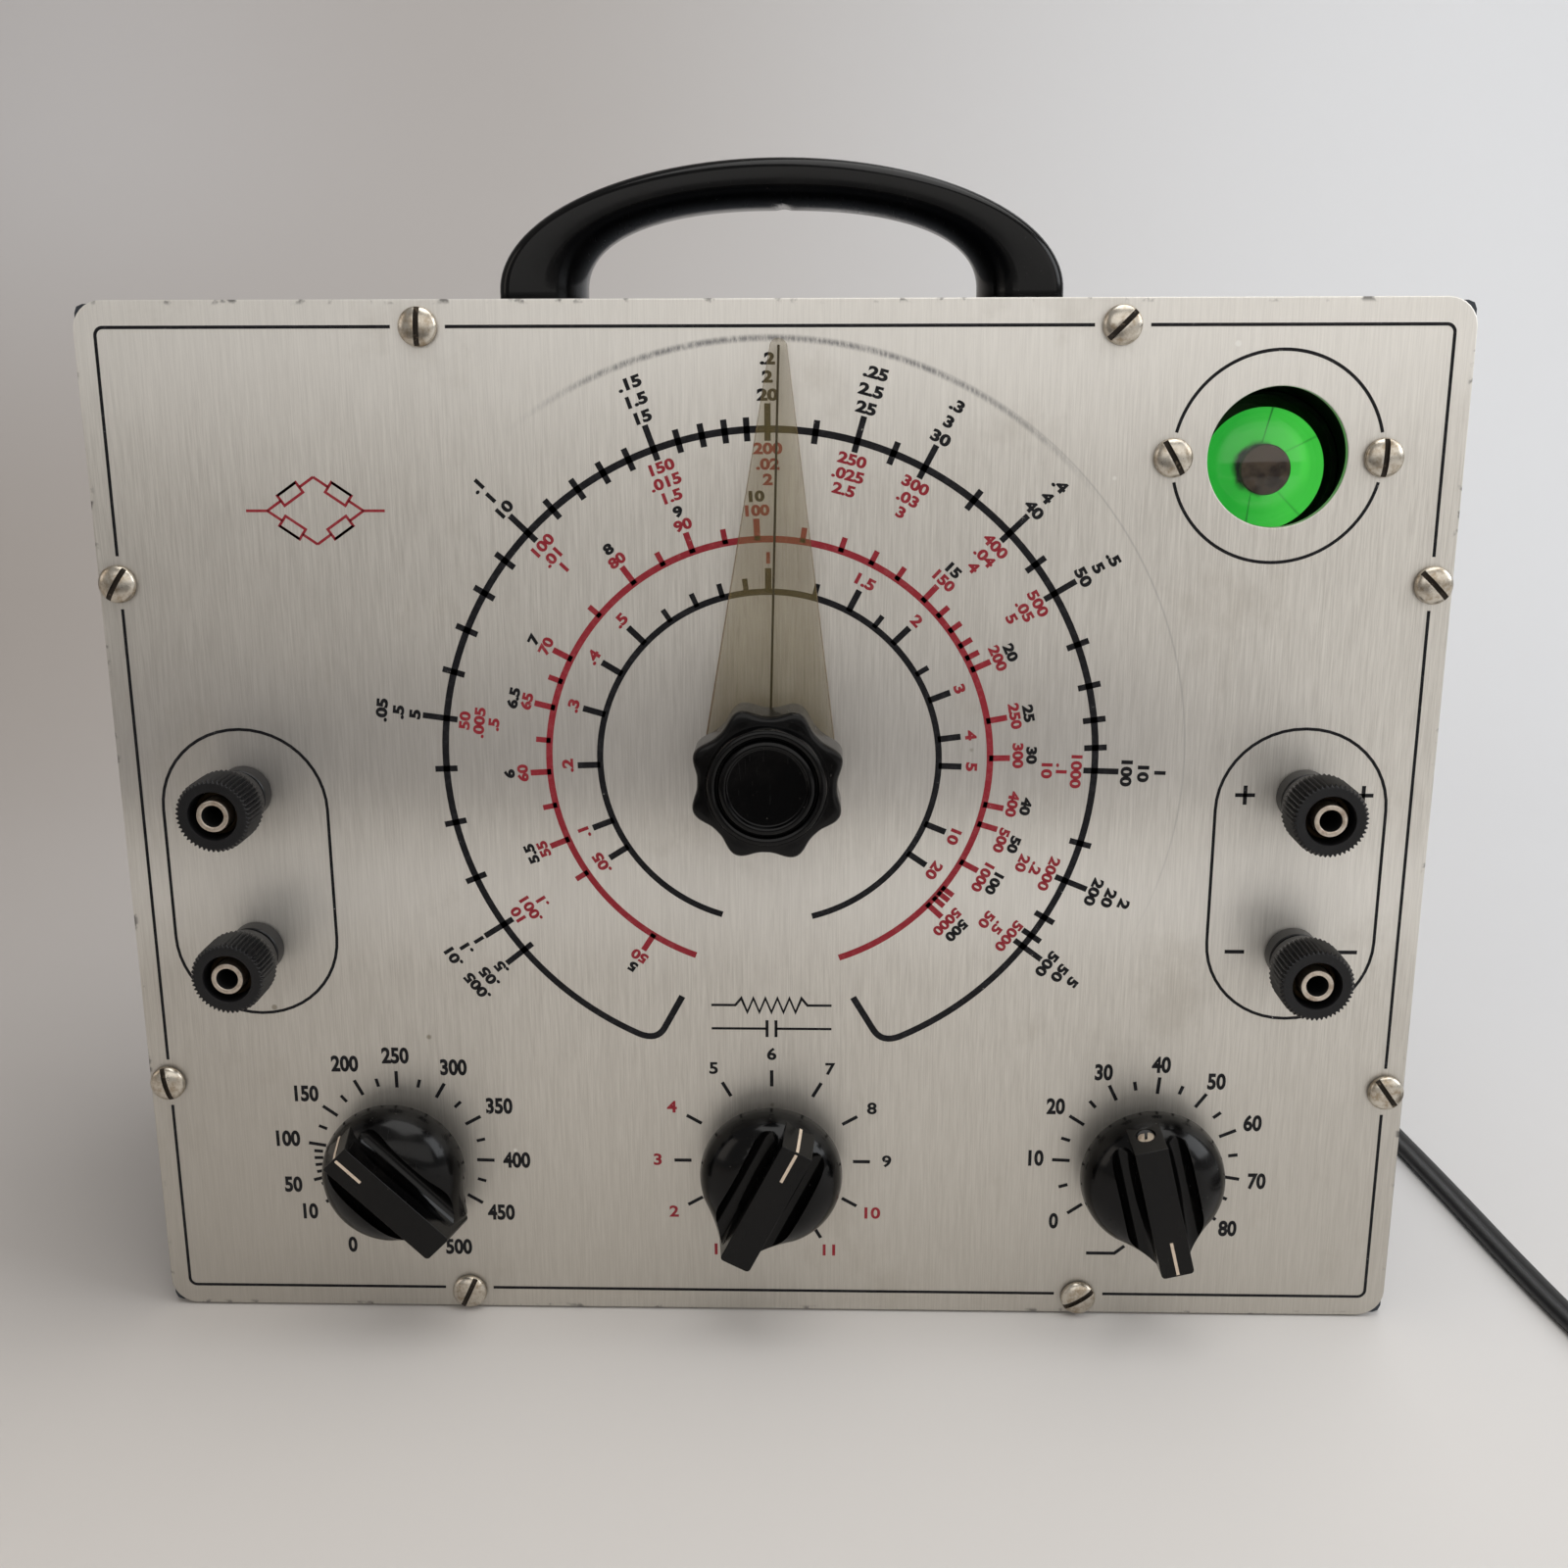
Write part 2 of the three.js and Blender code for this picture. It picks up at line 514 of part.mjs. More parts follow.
// The main dial's fluted knob, with a raised ring and a dished centre
const lobeSteps = 5;
const dishShare = 0.6;
function flutedKnob() {
  const k = dialKnob;
  const back = pointer.standOff + pointer.thickness + gap.seat;
  const shape = new THREE.Shape();
  const steps = k.lobes * lobeSteps;
  const middle = (k.peak + k.valley) / 2 - k.edge;
  const swing = (k.peak - k.valley) / 2;
  for (let i = 0; i < steps; i += 1) {
    const angle = (2 * Math.PI * i) / steps;
    const radius = middle - swing * Math.cos(k.lobes * angle);
    shape[i ? 'lineTo' : 'moveTo'](radius * Math.cos(angle), radius * Math.sin(angle));
  }
  const headBack = back + k.hubHeight;
  const head = new THREE.ExtrudeGeometry(shape, {
    depth: k.face - headBack - 2 * k.edge, bevelEnabled: true, bevelThickness: k.edge, bevelSize: k.edge,
    bevelSegments: 1,
  }).rotateX(Math.PI / 2).translate(0, -headBack - k.edge, 0);
  const core = turned([
    [0, back], [k.hub - k.edge, back], [k.hub, back + k.edge], [k.hub, headBack + k.edge],
    [k.ring, headBack + 2 * k.edge], [k.ring, k.face], [k.ringCrest, k.face + k.ringRise],
    [k.ringInner, k.face + k.ringRise], [k.rimOuter, k.face + k.grooveRise],
    [k.rimCrest, k.face + k.rimRise], [k.rimInner, k.face + k.rimRise - k.edge / 2],
    [k.rimInner * dishShare, k.face + k.dishRise + k.edge / 4], [0, k.face + k.dishRise],
  ], sides.knob);
  const bore = rod(shaft.radius + gap.seat, back - gap.overrun, back + shaft.grip, sides.middle);
  return cut(join(head, core), bore);
}

// The clear cursor plate under the dial knob
function dialPointer() {
  const { reach, tip, shoulder, shoulderHeight, thickness, standOff } = pointer;
  const start = Math.atan2(shoulderHeight, shoulder);
  const shape = new THREE.Shape();
  shape.absarc(0, 0, Math.hypot(shoulder, shoulderHeight), Math.PI - start, 2 * Math.PI + start);
  shape.absarc(0, reach - tip, tip, 0, Math.PI);
  shape.closePath();
  shape.holes.push(circle(shaft.radius + gap.seat, 0, 0));
  return slab(shape, standOff, standOff + thickness, sides.tiny);
}

// Controls behind the panel

function controlShaft(depth, out, seatAt = behindChassis) {
  const inner = seatAt + depth - gap.seat;
  const tip = out - gap.seat;
  const bevel = shaft.radius / 6;
  return turned([
    [0, -inner], [shaft.radius, -inner], [shaft.radius, tip - bevel], [shaft.radius - bevel, tip], [0, tip],
  ], sides.middle);
}

// A bushing that passes the panel, its nut, and the can behind
function controlBody(radius, depth, bore, seatAt = behindChassis) {
  const hole = shaft.radius + gap.running;
  const edge = panel.thickness / 2;
  const can = turned([
    [0, -seatAt - bore], [hole, -seatAt - bore], [hole, bushing.reach], [bushing.radius, bushing.reach],
    [bushing.radius, -seatAt], [radius - edge, -seatAt], [radius, -seatAt - edge],
    [radius, -seatAt - depth], [0, -seatAt - depth],
  ], sides.middle);
  const nutShape = polygonAcrossFlats(bushing.nutFlats, sides.hex);
  nutShape.holes.push(circle(bushing.radius - gap.seat, 0, 0));
  const nut = slab(nutShape, gap.seat, gap.seat + bushing.nutHeight, sides.tiny);
  return join(can, nut);
}

// Three soldering lugs under a potentiometer
function withLugs(body, size, seatAt = behindChassis) {
  const middleY = seatAt + size.depth / 2;
  for (let i = -1; i <= 1; i += 1) {
    const height = size.lugLength + size.radius / 2;
    const z = -size.radius - size.lugLength / 2 + size.radius / 4;
    const lug = block(size.lug, size.lugThickness, height, i * size.lugPitch, middleY, z);
    body = body.add(solid(lug));
  }
  return body;
}

function mainsSwitchPot() {
  const start = behindChassis + potentiometer.depth;
  const back = rod(
    mainsSwitch.radius, -start - mainsSwitch.depth, -start + gap.seat, sides.middle,
  );
  return withLugs(controlBody(potentiometer.radius, potentiometer.depth, innerBore), potentiometer)
    .add(solid(back));
}

function waferShape() {
  const { wafer, waferLug, lugs, lugWidth } = rangeSwitch;
  const shape = new THREE.Shape();
  for (let i = 0; i < lugs; i += 1) {
    const angle = (2 * Math.PI * i) / lugs;
    [[wafer, -1], [waferLug, -1], [waferLug, 1], [wafer, 1]].forEach(([radius, side], corner) => {
      const x = radius * Math.cos(angle) - side * (lugWidth / 2) * Math.sin(angle);
      const z = radius * Math.sin(angle) + side * (lugWidth / 2) * Math.cos(angle);
      shape[i || corner ? 'lineTo' : 'moveTo'](x, z);
    });
  }
  shape.holes.push(circle(shaft.radius + 2 * gap.seat, 0, 0));
  return shape;
}

// A rotary switch: detent can, wafers with their lugs, and two tie rods
function waferSwitch() {
  const s = rangeSwitch;
  const length = s.detentDepth + s.wafers * s.waferPitch + s.tail;
  const hole = shaft.radius + gap.running;
  const can = turned([
    [hole, -behindChassis - s.detentDepth], [hole, bushing.reach], [bushing.radius, bushing.reach],
    [bushing.radius, -behindChassis], [s.detent + s.rod, -behindChassis],
    [s.detent + s.rod, -behindChassis - s.detentDepth], [hole, -behindChassis - s.detentDepth],
  ], sides.middle);
  const nutShape = polygonAcrossFlats(bushing.nutFlats, sides.hex);
  nutShape.holes.push(circle(bushing.radius - gap.seat, 0, 0));
  let body = join(can, slab(nutShape, gap.seat, gap.seat + bushing.nutHeight, sides.tiny));
  [-1, 1].forEach((side) => {
    const tie = rod(s.rod, -behindChassis - length, -behindChassis - s.rod, sides.tiny);
    body = body.add(solid(tie.translate(side * s.rodAside, 0, 0)));
  });
  for (let i = 1; i <= s.wafers; i += 1) {
    const at = behindChassis + s.detentDepth + i * s.waferPitch;
    body = body.add(solid(slab(waferShape(), -at, s.waferThickness - at, sides.tiny / 2)));
  }
  return body;
}

// Binding posts

function postInsulator() {
  const { collar, collarHeight, neck, neckHeight, shoulder, shoulderDepth, stud } = post;
  const hole = stud + gap.seat;
  const groove = collarHeight - neckHeight;
  return turned([
    [hole, -shoulderDepth], [shoulder, -shoulderDepth], [shoulder, gap.seat], [collar, gap.seat],
    [collar, groove], [neck, groove], [neck, collarHeight], [hole, collarHeight], [hole, -shoulderDepth],
  ], sides.small);
}

function postStud() {
  const { stud, barrel, jack, jackDepth, reach, tail, nutFlats, nutHeight, shoulderDepth, wire } = post;
  const seat = post.collarHeight + gap.seat;
  const edge = (barrel - jack) / 3;
  const nutFront = -shoulderDepth - gap.seat;
  const metal = turned([
    [0, nutFront - nutHeight - tail], [stud, nutFront - nutHeight - tail], [stud, seat], [barrel, seat],
    [barrel, reach - edge], [barrel - edge, reach], [jack, reach], [jack, reach - jackDepth],
    [0, reach - jackDepth - edge],
  ], sides.small);
  const nut = slab(polygonAcrossFlats(nutFlats, sides.hex), nutFront - nutHeight, nutFront);
  const acrossPost = rod(wire, -barrel - gap.overrun, barrel + gap.overrun, sides.hex);
  return cut(join(metal, nut), acrossPost.rotateX(Math.PI / 2).translate(0, -seat - post.wireHeight, 0));
}

const capStart = post.collarHeight + cap.start;
const linerStart = capStart + cap.wallFoot + gap.seat;

// The threaded metal sleeve inside the cap
function capLiner() {
  const bore = post.barrel + gap.seat;
  const end = linerStart + cap.linerLength;
  return turned([
    [bore, linerStart], [cap.liner, linerStart], [cap.liner, end], [bore, end], [bore, linerStart],
  ], sides.small);
}

// The knurled cap: every other line of the turned form is drawn in where the grip is
function knurledCap() {
  const { neck, neckLength, radius, taper, edge, ridges, ridgeDepth, wallFoot, liner, front: proud } = cap;
  const end = post.reach + proud;
  const pocket = liner + gap.seat;
  const footHole = post.barrel + gap.seat;
  const form = turned([
    [footHole, capStart], [neck, capStart], [neck, capStart + neckLength],
    [radius, capStart + neckLength + taper], [radius, end - edge], [radius - edge, end], [pocket, end],
    [pocket, capStart + wallFoot], [footHole, capStart + wallFoot], [footHole, capStart],
  ], 2 * ridges);
  const position = form.attributes.position;
  for (let i = 0; i < position.count; i += 1) {
    const x = position.getX(i);
    const z = position.getZ(i);
    const line = Math.round((Math.atan2(x, z) / Math.PI) * ridges);
    const onGrip = Math.hypot(x, z) > radius - gap.seat;
    if (onGrip && line % 2 !== 0) {
      const share = (radius - ridgeDepth) / radius;
      position.setX(i, x * share);
      position.setZ(i, z * share);
    }
  }
  return form;
}

// The tuning eye, from its shroud to its socket. Its axis lies a little below the window's middle.
const shroudBack = behindPanel + eye.plate + eye.shroudLength;
const glassBack = eye.glassFront + eye.glassLength;

function eyeShroud() {
  const ears = roundedRectangle(2 * eye.earReach, 2 * eye.earHeight, eye.earHeight / 3);
  [-1, 1].forEach((side) => ears.holes.push(circle(panelScrew.shank + gap.seat, side * eye.screwAside, 0)));
  const plate = slab(ears, -behindPanel - eye.plate, -behindPanel, sides.tiny);
  const grip = eye.glass + gap.seat;
  const neckStart = shroudBack - eye.neckLength;
  const tube = turned([
    [0, -behindPanel], [eye.shroud, -behindPanel], [eye.shroud, -shroudBack], [0, -shroudBack],
  ], sides.knob).translate(0, 0, -eye.drop);
  const bore = turned([
    [0, gap.overrun], [eye.shroudInner, gap.overrun], [eye.shroudInner, -neckStart],
    [grip, -neckStart - gap.seat], [grip, -shroudBack - gap.overrun], [0, -shroudBack - gap.overrun],
  ], sides.knob).translate(0, 0, -eye.drop);
  return cut(join(plate, tube), bore);
}

function eyeGlass() {
  const { glass, glassWall, glassFront, domeDepth } = eye;
  const outer = [];
  const inner = [];
  const steps = sides.tiny / 2;
  for (let i = 0; i <= steps; i += 1) {
    const angle = (Math.PI / 2) * (i / steps);
    outer.push([glass * Math.sin(angle), -glassFront - domeDepth * (1 - Math.cos(angle))]);
    inner.unshift([
      (glass - glassWall) * Math.sin(angle), -glassFront - glassWall - domeDepth * (1 - Math.cos(angle)),
    ]);
  }
  return turned([...outer, [glass, -glassBack], [glass - glassWall, -glassBack], ...inner], sides.knob);
}

// The glowing target, a shallow cone on the cathode's sleeve
function eyeTarget() {
  const { target, targetFront, targetDepth, targetWall, sleeve, capStem, capStemLength, capFront } = eye;
  const bottom = targetFront + targetDepth;
  const hole = capStem + gap.seat;
  const holeEnd = capFront + capStemLength + gap.seat;
  return turned([
    [0, -holeEnd], [hole, -holeEnd], [hole, -bottom + gap.seat], [sleeve, -bottom + gap.seat],
    [target, -targetFront], [target, -targetFront - targetWall], [sleeve, -bottom - targetWall],
    [sleeve, -glassBack + gap.seat], [0, -glassBack + gap.seat],
  ], sides.knob);
}

function eyeCap() {
  const { cap: radius, capFront, capHeight, capStem, capStemLength } = eye;
  return turned([
    [0, -capFront - capStemLength], [capStem, -capFront - capStemLength], [capStem, -capFront - capHeight],
    [radius, -capFront - capHeight], [radius, -capFront - capHeight / 3], [radius - capHeight / 2, -capFront],
    [0, -capFront],
  ], sides.middle);
}

function eyeBase() {
  const start = glassBack + gap.seat;
  const end = start + eye.baseLength;
  const edge = eye.glassWall;
  return turned([
    [0, -start], [eye.base - edge, -start], [eye.base, -start - edge], [eye.base, -end],
    [eye.key, -end], [eye.key, -end - eye.keyLength + edge], [eye.key - edge, -end - eye.keyLength],
    [0, -end - eye.keyLength],
  ], sides.middle);
}

function eyeSocket() {
  const start = glassBack + eye.baseLength + 2 * gap.seat;
  const end = start + eye.socketLength;
  const hole = eye.key + gap.seat;
  return turned([
    [hole, -start], [eye.socket, -start], [eye.socket, -end + eye.plate], [eye.socket - eye.plate, -end],
    [hole, -end], [hole, -start],
  ], sides.middle);
}

// The chassis and what stands on it

function chassisTray() {
  const c = chassis;
  const face = new THREE.Shape();
  const half = c.width / 2;
  face.moveTo(-half, c.foot).lineTo(half, c.foot).lineTo(half, c.shelf).lineTo(-half, c.shelf).closePath();
  Object.values(controls).forEach((x) => {
    face.holes.push(circle(bushing.radius + gap.seat, x, layout.controlHeight));
  });
  const plate = slab(face, -behindPanel - c.sheet, -behindPanel, sides.tiny);
  const middleY = behindPanel + c.depth / 2;
  const shelf = block(c.width, c.depth, c.sheet, 0, middleY, c.shelf - c.sheet / 2);
  const lipY = behindPanel + c.depth - c.sheet / 2;
  const lip = block(c.width, c.sheet, c.lip, 0, lipY, c.shelf - c.lip / 2);
  const gussets = [-1, 1].map((side) => {
    const corner = new THREE.Shape();
    corner.moveTo(0, 0).lineTo(c.gusset, 0).lineTo(0, -c.gusset).closePath();
    const plateSide = new THREE.ExtrudeGeometry(corner, { depth: c.sheet, bevelEnabled: false });
    plateSide.rotateX(Math.PI / 2).rotateZ(Math.PI / 2);
    const x = side * (half - c.sheet / 2) - c.sheet / 2;
    return plateSide.translate(x, behindPanel, c.shelf);
  });
  return join(plate, shelf, lip, ...gussets);
}

const shelfTop = chassis.shelf + gap.seat;

function mainsTransformer() {
  const t = transformer;
  const core = slab(roundedRectangle(t.width, t.height, t.corner, 0, t.height / 2, 1), -t.stack / 2, t.stack / 2);
  const bell = new THREE.ExtrudeGeometry(
    roundedRectangle(t.width - 2 * t.bellCorner, t.height - 2 * t.bellCorner, t.bellCorner, 0, t.height / 2, 2),
    {
      depth: t.depth - 2 * t.bellCorner, bevelEnabled: true, bevelThickness: t.bellCorner,
      bevelSize: t.bellCorner / 2, bevelSegments: 2,
    },
  ).rotateX(Math.PI / 2).translate(0, t.depth / 2 - t.bellCorner, 0);
  const feet = block(t.width, t.bell, t.foot, 0, 0, t.foot / 2);
  return join(core, bell, feet);
}

function rectifierTube() {
  const r = rectifier;
  const shoulder = r.baseHeight + r.glassHeight - r.dome;
  const bulb = bulbShares.map(([radius, height]) => [r.glass * radius, shoulder + r.dome * height]);
  return turnedUp([
    [0, 0], [r.base, 0], [r.base, r.baseHeight - (r.base - r.neck) / 2], [r.neck, r.baseHeight],
    [r.glass, r.baseHeight + r.dome / 2], [r.glass, shoulder], ...bulb, [0, shoulder + r.dome],
  ], sides.middle);
}

function filterCan() {
  const c = canister;
  return turnedUp([
    [0, 0], [c.foot, 0], [c.foot, c.footHeight], [c.radius, c.footHeight], [c.radius, c.height - c.edge],
    [c.radius - c.edge, c.height], [0, c.height],
  ], sides.middle);
}

// The mains cord. It drops from the back to the table, comes forward beside the cabinet and ends in a coil.

const cordRadius = cord.width / 2;
const coilOuter = coil.inner + coil.pitch * coil.turnsPerLayer;

// Points of the free stretch, each from where it starts: the hole in the back, the cabinet's side
// at table height, and the coil's lead-in
const dropPoints = [
  [0, 0, 0], [0, 12, 0], [0, 24.6, 0], [0.2, 34, -0.8], [1.4, 44, -4], [4.6, 54, -9.8], [10, 62.6, -15.4],
  [18, 68.4, -19.4], [27.4, 70, -21],
];
const sidePoints = [
  [2.6, 126.6], [11.2, 118.6], [17.2, 106.6], [21.2, 92], [23.8, 74], [25.8, 52], [27.8, 30], [30.2, 8],
  [32.4, -14], [34.6, -38], [37.2, -61],
];
const approachPoints = [[-36.4, 33], [-30.6, 15.4], [-20.4, 3.8], [-8, 0], [0, 0]];
const coilEntry = [coil.x - coil.lead - gap.seat, coil.y - coilOuter];
const cordRoute = [
  ...dropPoints.map(([x, y, z]) => [cordHole.aside + x, backY + y, cordHole.height + z]),
  ...sidePoints.map(([x, y]) => [cabinet.width / 2 + x, y, cordRadius]),
  ...approachPoints.map(([x, y]) => [coilEntry[0] + x, coilEntry[1] + y, cordRadius]),
];
// Straight length before the plug, so that its body lies clear of the outer turn
const plugReach = Math.sqrt((coilOuter + cord.width) ** 2 - (coilOuter - plug.width / 2) ** 2);

// Steady middle line of the coil: in along the table, a climb, and out again on top
function coilLine() {
  const turns = 2 * coil.turnsPerLayer;
  const steps = Math.round(turns * coil.loopSteps);
  const climbShare = climbTurnShare / turns;
  const riseShare = riseTurnShare / turns;
  const plugRise = plug.thickness / 2;
  const low = cord.thickness / 2;
  const line = [];
  for (let i = 0; i <= steps; i += 1) {
    const along = i / steps;
    const inwards = along < 0.5 ? along * 2 : 2 - along * 2;
    const angle = -Math.PI / 2 + along * turns * 2 * Math.PI;
    const climb = THREE.MathUtils.smoothstep(along, 0.5 - climbShare / 2, 0.5 + climbShare / 2);
    const rise = THREE.MathUtils.smoothstep(along, 1 - riseShare, 1);
    const top = low + coil.layerPitch;
    const radius = coilOuter - (coilOuter - coil.inner) * inwards;
    const z = low + coil.layerPitch * climb + (plugRise - top) * rise;
    line.push(new THREE.Vector3(coil.x + radius * Math.cos(angle), coil.y + radius * Math.sin(angle), z));
  }
  const first = line[0].clone().add(new THREE.Vector3(-coil.lead, 0, 0));
  const endTurn = -Math.PI / 2 + turns * 2 * Math.PI;
  const leave = new THREE.Vector3(-Math.sin(endTurn), Math.cos(endTurn), 0);
  const last = line[line.length - 1].clone().addScaledVector(leave, plugReach - plug.neck);
  return [first, ...line, last];
}

const coilPath = coilLine();

// A flat six-sided tube along the coil's line, broad side down
function coiledCord() {
  const half = cord.width / 2;
  const rise = cord.thickness / 2;
  const section = [
    [half, 0], [half - rise / 2, rise], [rise / 2 - half, rise],
    [-half, 0], [rise / 2 - half, -rise], [half - rise / 2, -rise],
  ];
  const up = new THREE.Vector3(0, 0, 1);
  const rings = coilPath.map((point, i) => {
    const before = coilPath[Math.max(0, i - 1)];
    const after = coilPath[Math.min(coilPath.length - 1, i + 1)];
    const ahead = after.clone().sub(before).setZ(0).normalize();
    const aside = ahead.clone().cross(up);
    return section.map(([x, z]) => point.clone().addScaledVector(aside, x).addScaledVector(up, z).toArray());
  });
  return loft(rings);
}

// The least distance between turns, measured from surface to surface across and between the layers
function leastCoilGap() {
  let least = Infinity;
  const skip = coil.loopSteps / 2;
  for (let i = 0; i < coilPath.length; i += 1) {
    for (let j = i + skip; j < coilPath.length; j += 1) {
      const offset = coilPath[j].clone().sub(coilPath[i]);
      const across = Math.hypot(offset.x, offset.y) - cord.width;
      const upwards = Math.abs(offset.z) - cord.thickness;
      least = Math.min(least, Math.max(across, upwards));
    }
  }
  return least;
}
console.log(`least gap between the coil's turns ${leastCoilGap().toFixed(2)} mm`);

function freeCord() {
  const points = cordRoute.map((point) => new THREE.Vector3(...point));
  const curve = new THREE.CatmullRomCurve3(points, false, 'centripetal');
  const section = new THREE.Shape();
  for (let i = 0; i < cord.sides; i += 1) {
    const angle = (2 * Math.PI * i) / cord.sides;
    section[i ? 'lineTo' : 'moveTo'](cordRadius * Math.cos(angle), cordRadius * Math.sin(angle));
  }
  return new THREE.ExtrudeGeometry(section, { steps: cord.steps, extrudePath: curve, bevelEnabled: false });
}

function cordGrommet() {
  const g = grommet;
  const bore = cordRadius + gap.seat;
  const flangeBack = gap.seat + g.flangeThickness;
  return turned([
    [bore, g.tail], [g.throat, g.tail], [g.throat, -gap.seat], [g.flange, -gap.seat],
    [g.flange, -flangeBack], [g.throat, -flangeBack], [g.nose, -g.length], [bore, -g.length],
    [bore, g.tail],
  ], sides.middle);
}

// The plug at the coil's end, lying on its side, with its two blades
function mainsPlug() {
  const p = plug;
  const outline = roundedRectangle(p.width, p.thickness, p.corner);
  const shell = slab(outline, 0, p.length);
  const neck = turned([
    [0, -p.neck], [p.neckTip, -p.neck], [p.neckRadius, gap.overrun], [0, gap.overrun],
  ], sides.small);
  const blades = [-1, 1].map((side) => block(
    p.prongThickness, p.prongLength + p.prongRoot, p.prong,
    (side * p.prongPitch) / 2, -p.length + p.prongRoot / 2 - p.prongLength / 2, 0,
  ));
  return join(shell, neck, ...blades);
}

// Assembly

place('front_panel', frontPanel(), finish.panel);
place('cabinet', cabinetShell(), finish.cabinet, instrument);
place('chassis', chassisTray(), finish.zinc);
place('carrying_handle', carryingHandle(), finish.bakelite, instrument, [0, 0, cabinet.height + gap.seat]);
for (const [side, name] of [[-1, 'left'], [1, 'right']]) {
  const under = cabinet.height - cabinet.wall;
  place(`handle_screw_${name}`, handleScrew(), finish.steel, instrument, [side * handle.screwAside, 0, under]);
}

for (const [name, [x, z]] of Object.entries(screwPlaces)) {
  place(`panel_screw_${name}`, slottedScrew(panelScrew), finish.nickel, front, [x, 0, z], slotTurn[name]);
}
for (const [side, name] of [[-1, 'left'], [1, 'right']]) {
  const at = [layout.eyeAside + side * eye.screwAside, 0, layout.eyeHeight];
  place(`eye_screw_${name}`, slottedScrew(panelScrew), finish.nickel, front, at, slotTurn[`eye_${name}`]);
}

place('eye_shroud', eyeShroud(), finish.shroud, front, [layout.eyeAside, 0, layout.eyeHeight]);
const eyeAxis = [layout.eyeAside, 0, layout.eyeHeight - eye.drop];
place('eye_glass', eyeGlass(), finish.glass, front, eyeAxis);
place('eye_target', eyeTarget(), finish.glow, front, eyeAxis);
place('eye_cap', eyeCap(), finish.eyeCap, front, eyeAxis);
place('eye_base', eyeBase(), finish.brown, front, eyeAxis);
place('eye_socket', eyeSocket(), finish.brown, front, eyeAxis);

const dialPlace = [0, 0, layout.dialHeight];
const dialBore = pointer.standOff + pointer.thickness + gap.seat + shaft.grip;
place('dial_knob', flutedKnob(), finish.bakelite, front, dialPlace, restTurn.dial);
place('dial_pointer', dialPointer(), finish.amber, front, dialPlace, restTurn.dial);
place('dial_shaft', controlShaft(innerBore, dialBore, behindPanel), finish.steel, front, dialPlace);
const bridgeBody = controlBody(bridgePot.radius, bridgePot.depth, innerBore, behindPanel);
place('bridge_potentiometer', withLugs(bridgeBody, bridgePot, behindPanel), finish.fibre, front, dialPlace);

const knobBore = barKnob.standOff + shaft.grip;
const switchLength = rangeSwitch.detentDepth + rangeSwitch.wafers * rangeSwitch.waferPitch + rangeSwitch.tail;
const controlPieces = {
  voltage: ['potentiometer', withLugs(
    controlBody(potentiometer.radius, potentiometer.depth, innerBore), potentiometer,
  ), innerBore, restTurn.voltage, finish.zinc],
  range: ['switch', waferSwitch(), switchLength, restTurn.range, finish.fibre],
  power_factor: ['switched_potentiometer', mainsSwitchPot(), innerBore, restTurn.powerFactor, finish.zinc],
};
for (const [name, [bodyName, body, depth, turn, material]] of Object.entries(controlPieces)) {
  const at = [controls[name], 0, layout.controlHeight];
  place(`${name}_knob`, gripKnob(), finish.bakelite, front, at, turn);
  place(`${name}_shaft`, controlShaft(depth, knobBore), finish.steel, front, at);
  place(`${name}_${bodyName}`, body, material, front, at);
}

for (const [name, [x, z]] of Object.entries(posts)) {
  place(`post_${name}_insulator`, postInsulator(), finish.postPlastic, front, [x, 0, z]);
  place(`post_${name}_stud`, postStud(), finish.nickel, front, [x, 0, z]);
  place(`post_${name}_liner`, capLiner(), finish.brass, front, [x, 0, z]);
  place(`post_${name}_cap`, knurledCap(), finish.postPlastic, front, [x, 0, z]);
}

place('power_transformer', mainsTransformer(), finish.varnish, front, [
  transformer.fromSide - chassis.width / 2, transformer.back, shelfTop,
]);
place('rectifier_tube', rectifierTube(), finish.glass, front, [
  chassis.width / 2 - rectifier.fromSide, rectifier.back, shelfTop,
]);
place('filter_capacitor', filterCan(), finish.aluminium, front, [canister.aside, canister.back, shelfTop]);

place('cord_grommet', cordGrommet(), finish.rubber, instrument, [
  cordHole.aside, backY, cordHole.height,
]);
place('power_cord', freeCord(), finish.rubber, instrument);
place('cord_coil', coiledCord(), finish.rubber, instrument);
const coilEnd = coilPath[coilPath.length - 1];
const plugHeading = new THREE.Vector3().subVectors(coilEnd, coilPath[coilPath.length - 2]);
const plugMesh = place('plug', mainsPlug(), finish.rubber, instrument);
plugMesh.rotation.set(0, 0, Math.atan2(plugHeading.y, plugHeading.x) + Math.PI / 2);
const stepOff = (plug.neck + gap.seat) / plugHeading.length();
plugMesh.position.copy(coilEnd).addScaledVector(plugHeading, stepOff);

export default instrument;
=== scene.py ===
# %% [markdown]
# A bench capacitance bridge from the age of tubes: an aluminium panel on a steel box, a big dial
# with a clear pointer, bar knobs, binding posts and a green tuning eye. The solid model gives the
# true sizes. This lesson makes the finer meshes and the finishes that go over it.

# %% The frame
import math

import bmesh
import bpy
from mathutils import Matrix, Vector


